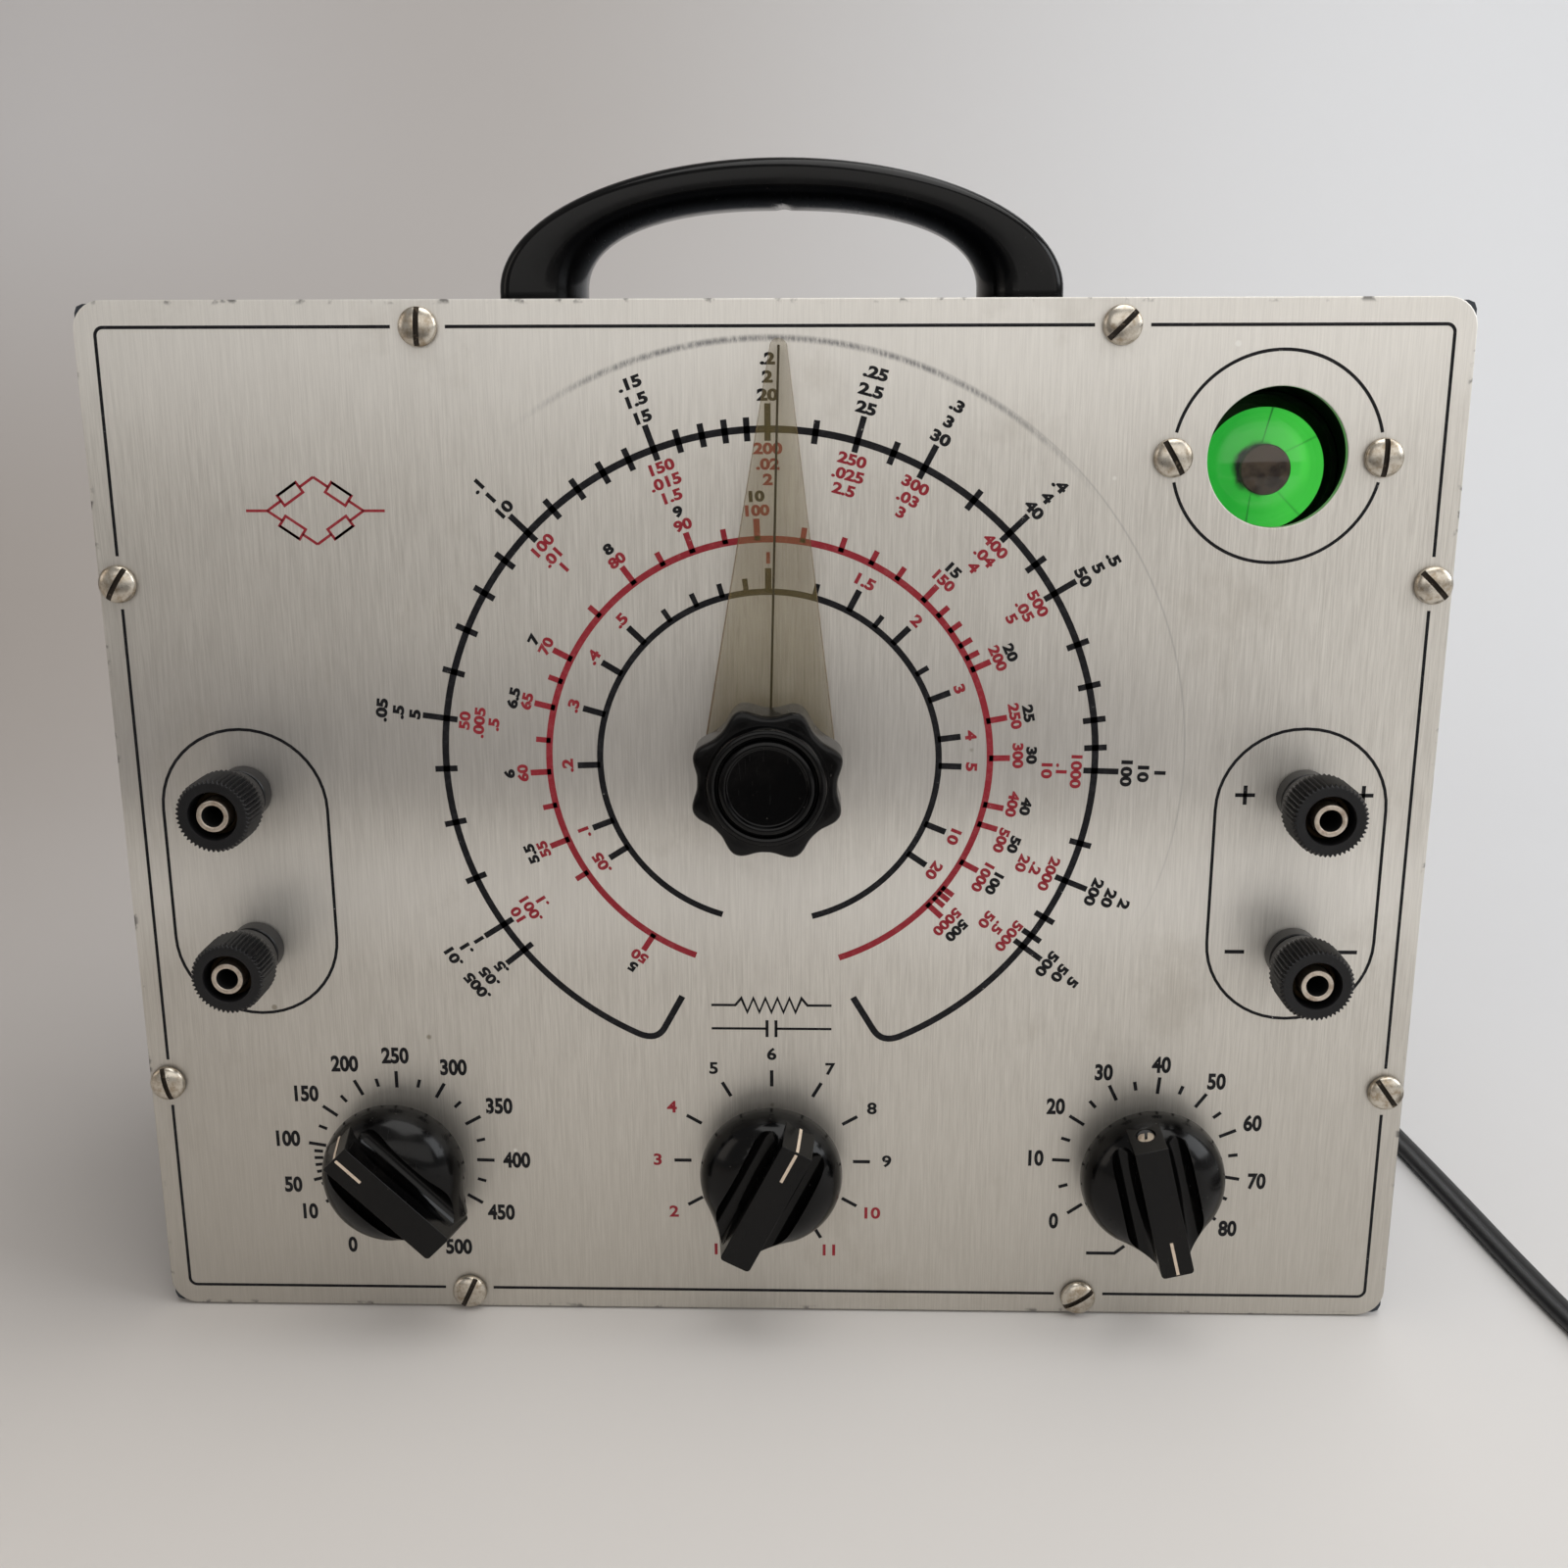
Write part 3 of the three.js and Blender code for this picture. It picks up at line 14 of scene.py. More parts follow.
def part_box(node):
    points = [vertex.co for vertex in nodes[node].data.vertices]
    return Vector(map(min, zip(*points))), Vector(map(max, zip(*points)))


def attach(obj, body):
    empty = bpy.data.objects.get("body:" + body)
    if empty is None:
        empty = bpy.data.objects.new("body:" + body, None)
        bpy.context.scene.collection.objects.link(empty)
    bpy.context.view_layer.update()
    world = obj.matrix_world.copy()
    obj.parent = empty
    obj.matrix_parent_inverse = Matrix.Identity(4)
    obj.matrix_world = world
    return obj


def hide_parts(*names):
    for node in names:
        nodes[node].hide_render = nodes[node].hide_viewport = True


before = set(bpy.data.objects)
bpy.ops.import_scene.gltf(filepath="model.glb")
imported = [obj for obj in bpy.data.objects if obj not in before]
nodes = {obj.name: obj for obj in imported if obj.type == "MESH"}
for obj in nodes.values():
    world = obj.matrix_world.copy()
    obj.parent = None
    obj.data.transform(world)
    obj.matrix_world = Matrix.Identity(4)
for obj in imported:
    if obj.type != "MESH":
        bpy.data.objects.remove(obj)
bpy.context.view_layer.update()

mm = 0.001
panel_low, panel_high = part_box("front_panel")
front = panel_low.y
print("panel front at y", round(front / mm, 2), "mm")


def middle_of(node):
    """The middle of a node's box, as x and z on the panel."""
    low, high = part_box(node)
    return (low.x + high.x) / 2, (low.z + high.z) / 2


def linked(name, data):
    """A new object around a mesh, a camera or a lamp."""
    thing = bpy.data.objects.new(name, data)
    bpy.context.scene.collection.objects.link(thing)
    return thing


# %% [markdown]
# The photographer stood close, a hand's breadth above the dial and a finger's breadth to its
# right, and looked down by fourteen degrees. A camera is placed by a spot and three angles: it is
# rolled a little first, then tilted, and then swung.

# %% The camera
camera = linked("camera", bpy.data.cameras.new("camera"))
camera_spot = Vector((10.1, -371.1, 193.4)) * mm
down_tilt, left_swing, roll = 14.35, 1.38, -0.13
camera.matrix_world = (
    Matrix.Translation(camera_spot)
    @ Matrix.Rotation(math.radians(left_swing), 4, "Z")
    @ Matrix.Rotation(math.radians(90 - down_tilt), 4, "X")
    @ Matrix.Rotation(math.radians(roll), 4, "Z")
)
camera.data.sensor_width = 36
camera.data.lens = 38.25
bpy.context.scene.camera = camera
print("camera at", tuple(round(c / mm, 1) for c in camera_spot), "mm")

# %% [markdown]
# The mains lead leaves the back, drops to the table, comes forward beside the case and ends in a
# coil with its plug. The free stretch is a list of given points, as on the solid model.
# The coil is worked out turn by turn: inwards on the table, up by one thickness, and outwards.

# %% The route of the lead
lead_width, lead_thickness = 5.6 * mm, 2.9 * mm
_, case_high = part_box("cabinet")
hole_x, hole_z = middle_of("cord_grommet")
lead_low = lead_thickness / 2
drop_points = [
    (0, 0, 0), (0, 12, 0), (0, 24.6, 0), (0.2, 34, -0.8), (1.4, 44, -4), (4.6, 54, -9.8),
    (10, 62.6, -15.4), (18, 68.4, -20.4), (27.4, 70, -22.4),
]
side_points = [
    (2.6, 126.6), (11.2, 118.6), (17.2, 106.6), (21.2, 92), (23.8, 74), (25.8, 52), (27.8, 30),
    (30.2, 8), (32.4, -14), (34.6, -38), (37.2, -61),
]
approach_points = [(-36.4, 33), (-30.6, 15.4), (-20.4, 3.8), (-8, 0)]
coil_middle = Vector((226, -72, 0)) * mm
coil_inner, coil_pitch, layer_pitch = 19 * mm, 6.9 * mm, 3.4 * mm
turns_per_layer, coil_lead, plug_half_height = 3.625, 22 * mm, 7 * mm
change_turns, lift_turns = 0.125, 0.5
coil_outer = coil_inner + coil_pitch * turns_per_layer
coil_entry = coil_middle + Vector((-coil_lead, -coil_outer, lead_low))


def smooth_route(points, steps=6):
    """Points along a smooth curve that passes every given point."""
    spots = [Vector(point) for point in points]
    spots = [2 * spots[0] - spots[1], *spots, 2 * spots[-1] - spots[-2]]
    route = []
    for a, b, c, d in zip(spots, spots[1:], spots[2:], spots[3:]):
        for step in range(steps):
            t = step / steps
            route.append(0.5 * (
                2 * b + (c - a) * t + (2 * a - 5 * b + 4 * c - d) * t ** 2
                + (3 * b - a - 3 * c + d) * t ** 3
            ))
    return route + [spots[-2]]


def ease(share):
    """From 0 to 1 with a soft start and a soft end."""
    share = min(1, max(0, share))
    return share * share * (3 - 2 * share)


def around(radius, angle):
    """A point on a circle, at an angle in radians."""
    return radius * math.cos(angle), radius * math.sin(angle)


def coil_route(steps_per_turn=32):
    """The coil's middle line. It changes layer halfway and rises to the plug at its end."""
    turns = 2 * turns_per_layer
    steps = round(turns * steps_per_turn)
    top = lead_low + layer_pitch
    route = []
    for step in range(steps + 1):
        along = step / steps
        radius = coil_outer - (coil_outer - coil_inner) * 2 * min(along, 1 - along)
        climb = ease((along - 0.5) * turns / change_turns + 0.5)
        rise = ease(1 - (1 - along) * turns / lift_turns)
        height = lead_low + layer_pitch * climb + (plug_half_height - top) * rise
        angle = -math.pi / 2 + along * turns * 2 * math.pi
        route.append(coil_middle + Vector((*around(radius, angle), height)))
    return route


free_points = (
    [(hole_x + x * mm, case_high.y + y * mm, hole_z + z * mm) for x, y, z in drop_points]
    + [(case_high.x + x * mm, y * mm, lead_low) for x, y in side_points]
    + [coil_entry + Vector((x, y, 0)) * mm for x, y in approach_points]
    + [coil_entry]
)
plug_low, plug_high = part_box("plug")
lead_end = Vector(((plug_low.x + plug_high.x) / 2, plug_low.y, plug_half_height))
lead_route = smooth_route(free_points) + coil_route() + [lead_end]

# %% [markdown]
# Round parts begin as a disc that is drawn up in steps, as a potter pulls a wall: every step is an
# extrude and a resize. A piece is modelled upright at the middle of the bench, so +Z is outwards,
# and is then stood on the panel by moving its mesh, which leaves its object at the origin.

# %% Bench tools
def make_active(piece):
    """Selects one piece alone."""
    bpy.ops.object.select_all(action="DESELECT")
    piece.select_set(True)
    bpy.context.view_layer.objects.active = piece


def added(name, primitive, **settings):
    """Adds a primitive under its name and puts its place into its mesh."""
    bpy.ops.object.select_all(action="DESELECT")
    primitive(**settings)
    piece = bpy.context.active_object
    piece.name = piece.data.name = name
    bpy.ops.object.transform_apply(location=True, rotation=True, scale=True)
    return piece


def edit(piece):
    """Opens a piece in edit mode, with all of it selected."""
    make_active(piece)
    bpy.ops.object.mode_set(mode="EDIT")
    bpy.ops.mesh.select_all(action="SELECT")


def choose_edges(piece, test):
    """In edit mode, selects the edges whose two ends pass a test."""
    bpy.ops.mesh.select_mode(type="EDGE")
    bpy.ops.mesh.select_all(action="DESELECT")
    for edge in bmesh.from_edit_mesh(piece.data).edges:
        if test(*(corner.co for corner in edge.verts)):
            edge.select_set(True)
    bmesh.update_edit_mesh(piece.data)


def tidy_faces():
    """Turns all faces outwards, at the end of edit mode."""
    bpy.ops.mesh.select_all(action="SELECT")
    bpy.ops.mesh.normals_make_consistent(inside=False)
    bpy.ops.object.mode_set(mode="OBJECT")


def with_modifier(piece, kind, **settings):
    """Adds a modifier and applies it."""
    modifier = piece.modifiers.new(kind.lower(), kind)
    for key, value in settings.items():
        setattr(modifier, key, value)
    make_active(piece)
    bpy.ops.object.modifier_apply(modifier=modifier.name)
    return piece


def bevelled(piece, width, segments, degrees=30):
    """Rounds the edges that turn by more than an angle. The width is in mm."""
    return with_modifier(piece, "BEVEL", width=width * mm, segments=segments,
                         limit_method="ANGLE", angle_limit=math.radians(degrees))


def smooth(piece, degrees=35):
    """Smooth shading except across sharp edges, with normals that keep large faces flat."""
    make_active(piece)
    bpy.ops.object.shade_smooth_by_angle(angle=math.radians(degrees))
    return with_modifier(piece, "WEIGHTED_NORMAL", keep_sharp=True)


def turned(name, profile, sides=64):
    """A round piece drawn up from a disc. The profile is pairs of radius and height in mm."""
    radius, height = profile[0]
    piece = added(name, bpy.ops.mesh.primitive_circle_add, vertices=sides, radius=radius * mm,
                  fill_type="NGON", location=(0, 0, height * mm))
    edit(piece)
    bpy.ops.mesh.select_mode(type="FACE")
    for next_radius, next_height in profile[1:]:
        rise = (0, 0, (next_height - height) * mm)
        bpy.ops.mesh.extrude_region_move(TRANSFORM_OT_translate={"value": rise})
        grow = next_radius / radius
        bpy.ops.transform.resize(value=(grow, grow, 1), center_override=(0, 0, 0))
        radius, height = next_radius, next_height
    tidy_faces()
    return piece


def spun(name, profile, sides=64):
    """A bored piece: a ring of corners is moved onto the profile and spun about Z."""
    piece = added(name, bpy.ops.mesh.primitive_circle_add, vertices=len(profile),
                  fill_type="NOTHING")
    edit(piece)
    form = bmesh.from_edit_mesh(piece.data)
    for corner, (radius, height) in zip(form.verts, profile):
        corner.co = Vector((radius, 0, height)) * mm
    bmesh.update_edit_mesh(piece.data)
    bpy.ops.mesh.spin(steps=sides, angle=2 * math.pi, center=(0, 0, 0), axis=(0, 0, 1))
    bpy.ops.mesh.select_all(action="SELECT")
    bpy.ops.mesh.remove_doubles(threshold=0.001 * mm)
    tidy_faces()
    return piece


def block(name, low, high):
    """A box between two corners, in mm on the bench."""
    low, high = Vector(low) * mm, Vector(high) * mm
    return added(name, bpy.ops.mesh.primitive_cube_add, size=1, location=(low + high) / 2,
                 scale=high - low)


def skin(name, rings, closed=False, unit=mm):
    """A mesh over rings that have the same number of points, in mm unless a unit is given."""
    count = len(rings[0])
    faces = []
    last = len(rings) if closed else len(rings) - 1
    for ring in range(last):
        here, there = ring * count, ((ring + 1) % len(rings)) * count
        for i in range(count):
            j = (i + 1) % count
            faces.append((here + i, here + j, there + j, there + i))
    if not closed:
        faces.append(tuple(reversed(range(count))))
        faces.append(tuple((len(rings) - 1) * count + i for i in range(count)))
    data = bpy.data.meshes.new(name)
    data.from_pydata([Vector(point) * unit for ring in rings for point in ring], [], faces)
    piece = linked(name, data)
    edit(piece)
    tidy_faces()
    return piece


def drill(radius, low, high, sides=24):
    """A plain round cutter between two heights in mm."""
    return turned("drill", [(radius, low), (radius, high)], sides)


def joined(name, pieces):
    """Several pieces made into one."""
    make_active(pieces[0])
    for piece in pieces:
        piece.select_set(True)
    bpy.ops.object.join()
    whole = bpy.context.active_object
    whole.name = whole.data.name = name
    return whole


def cut_by(piece, cutter):
    """Takes one piece away from another and clears the cutter up."""
    with_modifier(piece, "BOOLEAN", object=cutter, operation="DIFFERENCE", solver="EXACT")
    bpy.data.objects.remove(cutter)
    return piece


def copy_of(piece, name):
    """A copy that has its own mesh."""
    twin = piece.copy()
    twin.data = piece.data.copy()
    twin.name = twin.data.name = name
    bpy.context.scene.collection.objects.link(twin)
    return twin


def moved(piece, spot, *turns):
    """Turns a piece's mesh, about the last axis named first, and moves it to a spot in metres."""
    place = Matrix.Translation(spot)
    for degrees, axis in turns:
        place = place @ Matrix.Rotation(math.radians(degrees), 4, axis)
    piece.data.transform(place)
    return piece


def stand(piece, x, z, turn=0):
    """Stands a bench piece on the panel at x and z in metres, turned clockwise by degrees."""
    return moved(piece, (x, front, z), (turn, "Y"), (90, "X"))


# %% [markdown]
# A finish is a small sum: a base, plus streaks, minus dirt. To write it as a sum, one class wraps
# a node's output and lets Python's operators add the maths nodes. Every finish reads Object
# coordinates, which are real metres here, so a pattern keeps its real size.

# %% Shader sums
def maths(operation, swapped=False):
    """A method that adds one Math node."""
    def add_node(self, *others):
        values = (*others, self) if swapped else (self, *others)
        return self.mixer.add("Math", {"operation": operation}, dict(enumerate(values)))
    return add_node


class Signal:
    """One output of a shader node. Sums with it add Math nodes."""

    __add__, __radd__ = maths("ADD"), maths("ADD", True)
    __sub__, __rsub__ = maths("SUBTRACT"), maths("SUBTRACT", True)
    __mul__, __rmul__ = maths("MULTIPLY"), maths("MULTIPLY", True)
    __truediv__, __rtruediv__ = maths("DIVIDE"), maths("DIVIDE", True)
    __abs__, root, most = maths("ABSOLUTE"), maths("SQRT"), maths("MAXIMUM")

    def __init__(self, mixer, socket):
        self.mixer, self.socket = mixer, socket

    def step(self, start, end, low=0.0, high=1.0):
        """Eases from low to high as the signal goes from start to end."""
        settings = {"interpolation_type": "SMOOTHSTEP"}
        limits = {"Value": self, "From Min": start, "From Max": end, "To Min": low, "To Max": high}
        return self.mixer.add("MapRange", settings, limits)

    def band(self, centre, width):
        """One at a centre, and none half a width to either side."""
        return abs(self - centre).step(0, width / 2, 1, 0)


class Mixer:
    """Builds the nodes of a material or of the world."""

    def __init__(self, owner):
        owner.use_nodes = True
        self.tree = owner.node_tree

    def feed(self, socket, value):
        if isinstance(value, Signal):
            self.tree.links.new(value.socket, socket)
        elif isinstance(value, (tuple, list)) and socket.type == "RGBA":
            socket.default_value = (*value[:3], 1)
        else:
            socket.default_value = value

    def add(self, kind, settings=None, sockets=None, output=0):
        """Adds a node with its settings first, then the values or links of its sockets."""
        node = self.tree.nodes.new("ShaderNode" + kind)
        for key, value in (settings or {}).items():
            setattr(node, key, value)
        for key, value in (sockets or {}).items():
            self.feed(node.inputs[key], value)
        return Signal(self, node.outputs[output])

    def mix(self, color, *layers):
        """A colour under layers. Each layer is how much it covers, up to 1, and its colour."""
        for cover, tone in layers:
            color = self.add("Mix", {"data_type": "RGBA"}, {0: cover, 6: color, 7: tone}, 2)
        return color


class Finish(Mixer):
    """A material that is being mixed."""

    def __init__(self, name, color, **surface):
        self.material = bpy.data.materials.new(name)
        super().__init__(self.material)
        self.shader = self.tree.nodes["Principled BSDF"]
        self.material.diffuse_color = (*color, 1)
        self.wear(base_color=color, **surface)

    def wear(self, **surface):
        """Sets the shader's own sockets, by names such as base_color or roughness."""
        for key, value in surface.items():
            socket = key.replace("_", " ").title().replace("Ior", "IOR")
            self.feed(self.shader.inputs[socket], value)

    def place(self):
        """Object coordinates, in metres."""
        return self.add("TexCoord", output="Object")

    def parts(self, vector=None):
        """The x, y and z of a vector, or of the place."""
        vector = vector or self.place()
        split = self.add("SeparateXYZ", {}, {0: vector})
        return [Signal(self, output) for output in split.socket.node.outputs]

    def stretched(self, *scale):
        """The place, scaled along each axis."""
        return self.add("VectorMath", {"operation": "MULTIPLY"}, {0: self.place(), 1: scale})

    def noise(self, *scale, detail=3.0, roughness=0.55):
        """Soft noise with so many lumps to the metre, along each axis or along all alike."""
        place = self.stretched(*(scale if len(scale) == 3 else scale * 3))
        sockets = {"Vector": place, "Scale": 1.0, "Detail": detail, "Roughness": roughness}
        return self.add("TexNoise", {"normalize": True}, sockets)

    def spots(self, per_metre, share, size=0.3):
        """Small round spots, on a share of the cells of a grid."""
        cells = self.add("TexVoronoi", {"feature": "F1"}, {
            "Vector": self.place(), "Scale": per_metre, "Randomness": 1.0})
        chance = self.parts(Signal(self, cells.socket.node.outputs["Color"]))[0]
        return cells.step(size * 0.5, size, 1, 0) * chance.step(share, share * 0.99)

    def bump(self, height, depth, strength=1.0):
        """Raises the surface by up to a depth in mm."""
        self.wear(normal=self.add("Bump", {}, {
            "Height": height, "Distance": depth * mm, "Strength": strength}))


def dress(pieces, finish):
    """Gives pieces, or CAD nodes by name, a finish."""
    for piece in pieces:
        if isinstance(piece, str):
            nodes[piece].material_slots[0].material = finish.material
            continue
        if finish:
            piece.data.materials.clear()
            piece.data.materials.append(finish.material)


def fit(piece, finish, node=None, body="instrument"):
    """Dresses a piece, unless its finish is None, and puts it on a body, for a CAD node if any."""
    dress([piece], finish)
    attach(piece, body)
    if node:
        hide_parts(node)
    return piece


# %% [markdown]
# The panel is sheet aluminium, brushed upright and lacquered. Brushing is noise drawn out along Z:
# thousands of lumps to the metre across, a few tens along. The same noise moves colour, gloss and
# bump together, because one scratch does all three. Use has left a scuffed arc under the pointer's
# tip, grime along the edges and a few duller patches. Light and shade are painted into the colour
# too: painted shade towards the foot and on the left, a painted dark reflection across the dial's
# height, and painted bright reflections at the top and just below that band. All are worked out
# from the place.

# %% Finish of the panel
dial_x, dial_z = middle_of("dial_shaft")
panel_half_x = (panel_high.x - panel_low.x) / 2
panel_rise = 1 * mm  # the photo's panel reaches a little higher than the solid one
panel_top = panel_high.z + panel_rise
panel_half_z = (panel_top - panel_low.z) / 2
panel_mid_z = (panel_top + panel_low.z) / 2
pointer_reach = 78.5 * mm


def brushed_aluminium():
    metal = Finish("brushed_aluminium", (0.68, 0.655, 0.6), metallic=0.86)
    x, _, z = metal.parts()
    hairs = metal.noise(3600, 900, 110, detail=4, roughness=0.7)
    streaks = metal.noise(600, 300, 8, detail=3)
    patches = metal.noise(16, 16, 11, detail=4)
    handled = metal.noise(45, 45, 38, detail=5, roughness=0.65).step(0.56, 0.75)
    up = z - dial_z
    away = ((x - dial_x) * (x - dial_x) + up * up).root()
    broken = metal.noise(2200, 900, 500, detail=3, roughness=0.7).step(0.3, 0.62, 0.25, 1)
    swept = up.step(45 * mm, 76 * mm) * (x - dial_x).step(-52 * mm, -25 * mm)
    arc = away.band(pointer_reach, 1.9 * mm) * broken * swept
    fine_arc = away.band(pointer_reach + 0.5 * mm, 0.6 * mm)
    fine_arc = fine_arc * x.step(-0.04, 0.03) * up.step(-0.045, 0)
    edge = (abs(x) - panel_half_x).most(abs(z - panel_mid_z) - panel_half_z) * -1
    nicks = edge.step(0.2 * mm, 1.1 * mm, 1, 0) * metal.noise(230).step(0.58, 0.66)
    tone = hairs * 0.74 + streaks * 0.08 + patches * 0.18
    # Painted light and shade, worked out from the place: painted shade on the left and at the
    # foot, a painted dark reflection band at the dial's height that fades out to the right, and
    # painted bright reflections at the top and in a band below it.
    foot = z.step(0.075, 0.03)
    shade = x.step(-0.03, -0.125) * (z.step(0.185, 0.14) * 0.2 + foot * 0.16)
    shade = shade.most(x.step(0.05, 0.1) * foot * 0.1)
    darkening = (z.step(0.19, 0.15) * 0.07 + z.step(0.15, 0.12) * 0.32) * z.step(0.1, 0.118)
    painted_bright_reflection = (z.step(0.165, 0.2) * 0.5).most(z.band(0.092, 0.04) * 0.4)
    color = metal.mix(
        (0.6, 0.572, 0.525),
        (tone.step(0.3, 0.7), (0.795, 0.766, 0.712)),
        # painted shade: darker towards the foot
        (z.step(panel_low.z, panel_mid_z, 0.5, 0), (0.42, 0.39, 0.34)),
        (shade, (0.36, 0.335, 0.3)),
        (darkening * x.step(0.13, 0.045), (0.27, 0.26, 0.265)),
        (painted_bright_reflection, (0.94, 0.92, 0.88)),
        (handled * 0.2, (0.4, 0.36, 0.3)),
        ((arc * 0.8).most(fine_arc * 0.25), (0.17, 0.17, 0.18)),
        (nicks * 0.8, (0.12, 0.115, 0.11)),
        (metal.spots(130, 0.05, 0.1) * 0.6, (0.18, 0.15, 0.09)),
        (metal.spots(95, 0.04, 0.07) * 0.6, (0.95, 0.94, 0.9)),
    )
    metal.wear(base_color=color, roughness=0.4 + hairs * 0.12 + handled * 0.06 + arc * 0.1)
    metal.bump(hairs + streaks * 0.3, 0.006, 0.5)
    return metal


panel_metal = brushed_aluminium()
print("panel finish of", len(panel_metal.tree.nodes), "nodes")

# %% [markdown]
# The plate is a box with its four upright corners rounded, cut by all that passes through it. The
# cutters are made first as one object, so a single boolean does the work, and a fine bevel gives
# the cut edges the line of light that real sheet has.

# %% The panel
panel_corner, fine_bevel = 5.5, 0.25
screw_hole, post_hole, shaft_hole, window_hole = 2, 4.2, 5.1, 12.7
eye_screw_left, eye_screw_right = middle_of("eye_screw_left"), middle_of("eye_screw_right")
eye_window = ((eye_screw_left[0] + eye_screw_right[0]) / 2, eye_screw_left[1])


def drilled_plate():
    low, high = panel_low / mm, (panel_high.x / mm, panel_high.y / mm, panel_top / mm)
    plate = block("panel_plate", low, high)
    edit(plate)
    choose_edges(plate, lambda a, b: abs(a.y - b.y) > mm)
    bpy.ops.mesh.bevel(offset=panel_corner * mm, segments=8, affect="EDGES")
    tidy_faces()
    holes = [(middle_of(n), screw_hole) for n in nodes if "screw" in n and "handle" not in n]
    holes += [(middle_of(n), post_hole) for n in nodes if n.endswith("insulator")]
    holes += [(middle_of(n), shaft_hole) for n in nodes if n.endswith("shaft")]
    cutters = [stand(drill(radius, -4, 4, 32), x, z) for (x, z), radius in holes]
    window = stand(drill(window_hole, -4, 4, 96), *eye_window)
    cut_by(plate, joined("drills", [*cutters, window]))
    return smooth(bevelled(plate, fine_bevel, 2), 20)


plate = fit(drilled_plate(), panel_metal, "front_panel")
print("panel plate of", len(plate.data.polygons), "faces")

# %% [markdown]
# The case is folded steel under dark blue-grey enamel. Sprayed enamel has a faint orange peel,
# which is low, round noise in the bump, and rubbed edges where grey metal starts to show.

# %% Finish of the case and of what is inside it
def enamel():
    paint = Finish("case_enamel", (0.03, 0.038, 0.05), metallic=0.1)
    peel = paint.noise(420, detail=2)
    worn = paint.noise(60, detail=5, roughness=0.7).step(0.6, 0.72)
    color = paint.mix(
        (0.024, 0.03, 0.04), (peel, (0.036, 0.045, 0.058)), (worn * 0.35, (0.075, 0.08, 0.088)),
        (paint.spots(190, 0.06, 0.12) * 0.7, (0.16, 0.165, 0.17)),
    )
    paint.wear(base_color=color, roughness=0.36 + worn * 0.2 + peel * 0.06)
    paint.bump(peel, 0.03, 0.6)
    return paint


def plated(name, bright, darkening, rough, lumps=240):
    """Bare or plated metal with dull, tarnished patches."""
    metal = Finish(name, bright, metallic=1.0)
    tarnish = metal.noise(lumps, detail=5, roughness=0.65)
    fine = metal.noise(lumps * 9, detail=2)
    color = metal.mix(bright, (tarnish.step(0.42, 0.68), darkening))
    metal.wear(base_color=color, roughness=rough + tarnish * 0.22 + fine * 0.06)
    metal.bump(fine, 0.004, 0.5)
    return metal


def moulded(name, low, high, rough, grain=900, depth=0.01, gloss=0.5):
    """Moulded or laminated stuff in two close tones."""
    stuff = Finish(name, low, specular_ior_level=gloss)
    blotch = stuff.noise(grain / 8, detail=4)
    fine = stuff.noise(grain, detail=2)
    stuff.wear(
        base_color=stuff.mix(low, (blotch * 0.6 + fine * 0.4, high)),
        roughness=rough + blotch * 0.14 + fine * 0.05,
    )
    stuff.bump(fine, depth, 0.6)
    return stuff


case_enamel = enamel()
zinc = plated("zinc_plate", (0.5, 0.5, 0.47), (0.33, 0.31, 0.25), 0.3)
steel = plated("turned_steel", (0.5, 0.5, 0.5), (0.34, 0.33, 0.31), 0.26)
nickel = plated("old_nickel", (0.62, 0.55, 0.47), (0.4, 0.32, 0.25), 0.24, 420)
brass = plated("brass", (0.62, 0.47, 0.2), (0.34, 0.23, 0.1), 0.24, 420)
# The liner's brass sits deep inside the cap, so it is painted nearly black: painted shade, with
# tarnished patches over it.
brass_in_painted_shade = plated("brass_tarnish_and_painted_shade", (0.035, 0.025, 0.014), (0.015, 0.01, 0.007), 0.6, 420)
can_metal = plated("drawn_can", (0.66, 0.66, 0.66), (0.5, 0.49, 0.47), 0.28)
fibre = moulded("laminated_board", (0.16, 0.075, 0.03), (0.26, 0.14, 0.06), 0.5)
brown_base = moulded("brown_moulding", (0.03, 0.014, 0.008), (0.05, 0.024, 0.012), 0.22)
black_varnish = moulded("black_varnish", (0.012, 0.012, 0.013), (0.03, 0.03, 0.032), 0.35)
flat_black = moulded("flat_black", (0.004, 0.004, 0.004), (0.009, 0.009, 0.009), 0.6, gloss=0.3)
post_black = moulded("post_moulding", (0.005, 0.005, 0.006), (0.011, 0.011, 0.012), 0.28,
                     gloss=0.3)
black_rubber = moulded("black_rubber", (0.007, 0.007, 0.007), (0.014, 0.014, 0.014), 0.36)

dress(["cabinet"], case_enamel)
dress(["chassis", "voltage_potentiometer", "power_factor_switched_potentiometer"], zinc)
dress(["bridge_potentiometer", "range_switch"], fibre)
dress(["power_transformer"], black_varnish)
dress(["filter_capacitor"], can_metal)
dress(["eye_base", "eye_socket"], brown_base)
dress([n for n in nodes if n.endswith("shaft") or n.startswith("handle_screw")], steel)
print("finishes made:", len(bpy.data.materials))


# %% [markdown]
# The flex has two wires side by side under one flat skin. One ring of it is two round lobes with
# a groove between them. The ring is set across the route at every point, always level, because a
# flat lead lies flat on a table.

# %% The lead, its grommet and its plug
def flex_outline(steps=9, groove=0.62):
    """Two lobes and a groove, as pairs across and up. The groove is a share of the lobe."""
    lobe, middle = lead_thickness / 2, (lead_width - lead_thickness) / 2
    reach = math.radians(132)
    outline = []
    for side in (1, -1):
        for step in range(steps + 1):
            across, up = around(lobe, reach * (2 * step / steps - 1))
            outline.append((side * (middle + across), side * up))
        outline.append((0, side * lobe * groove))
    return outline


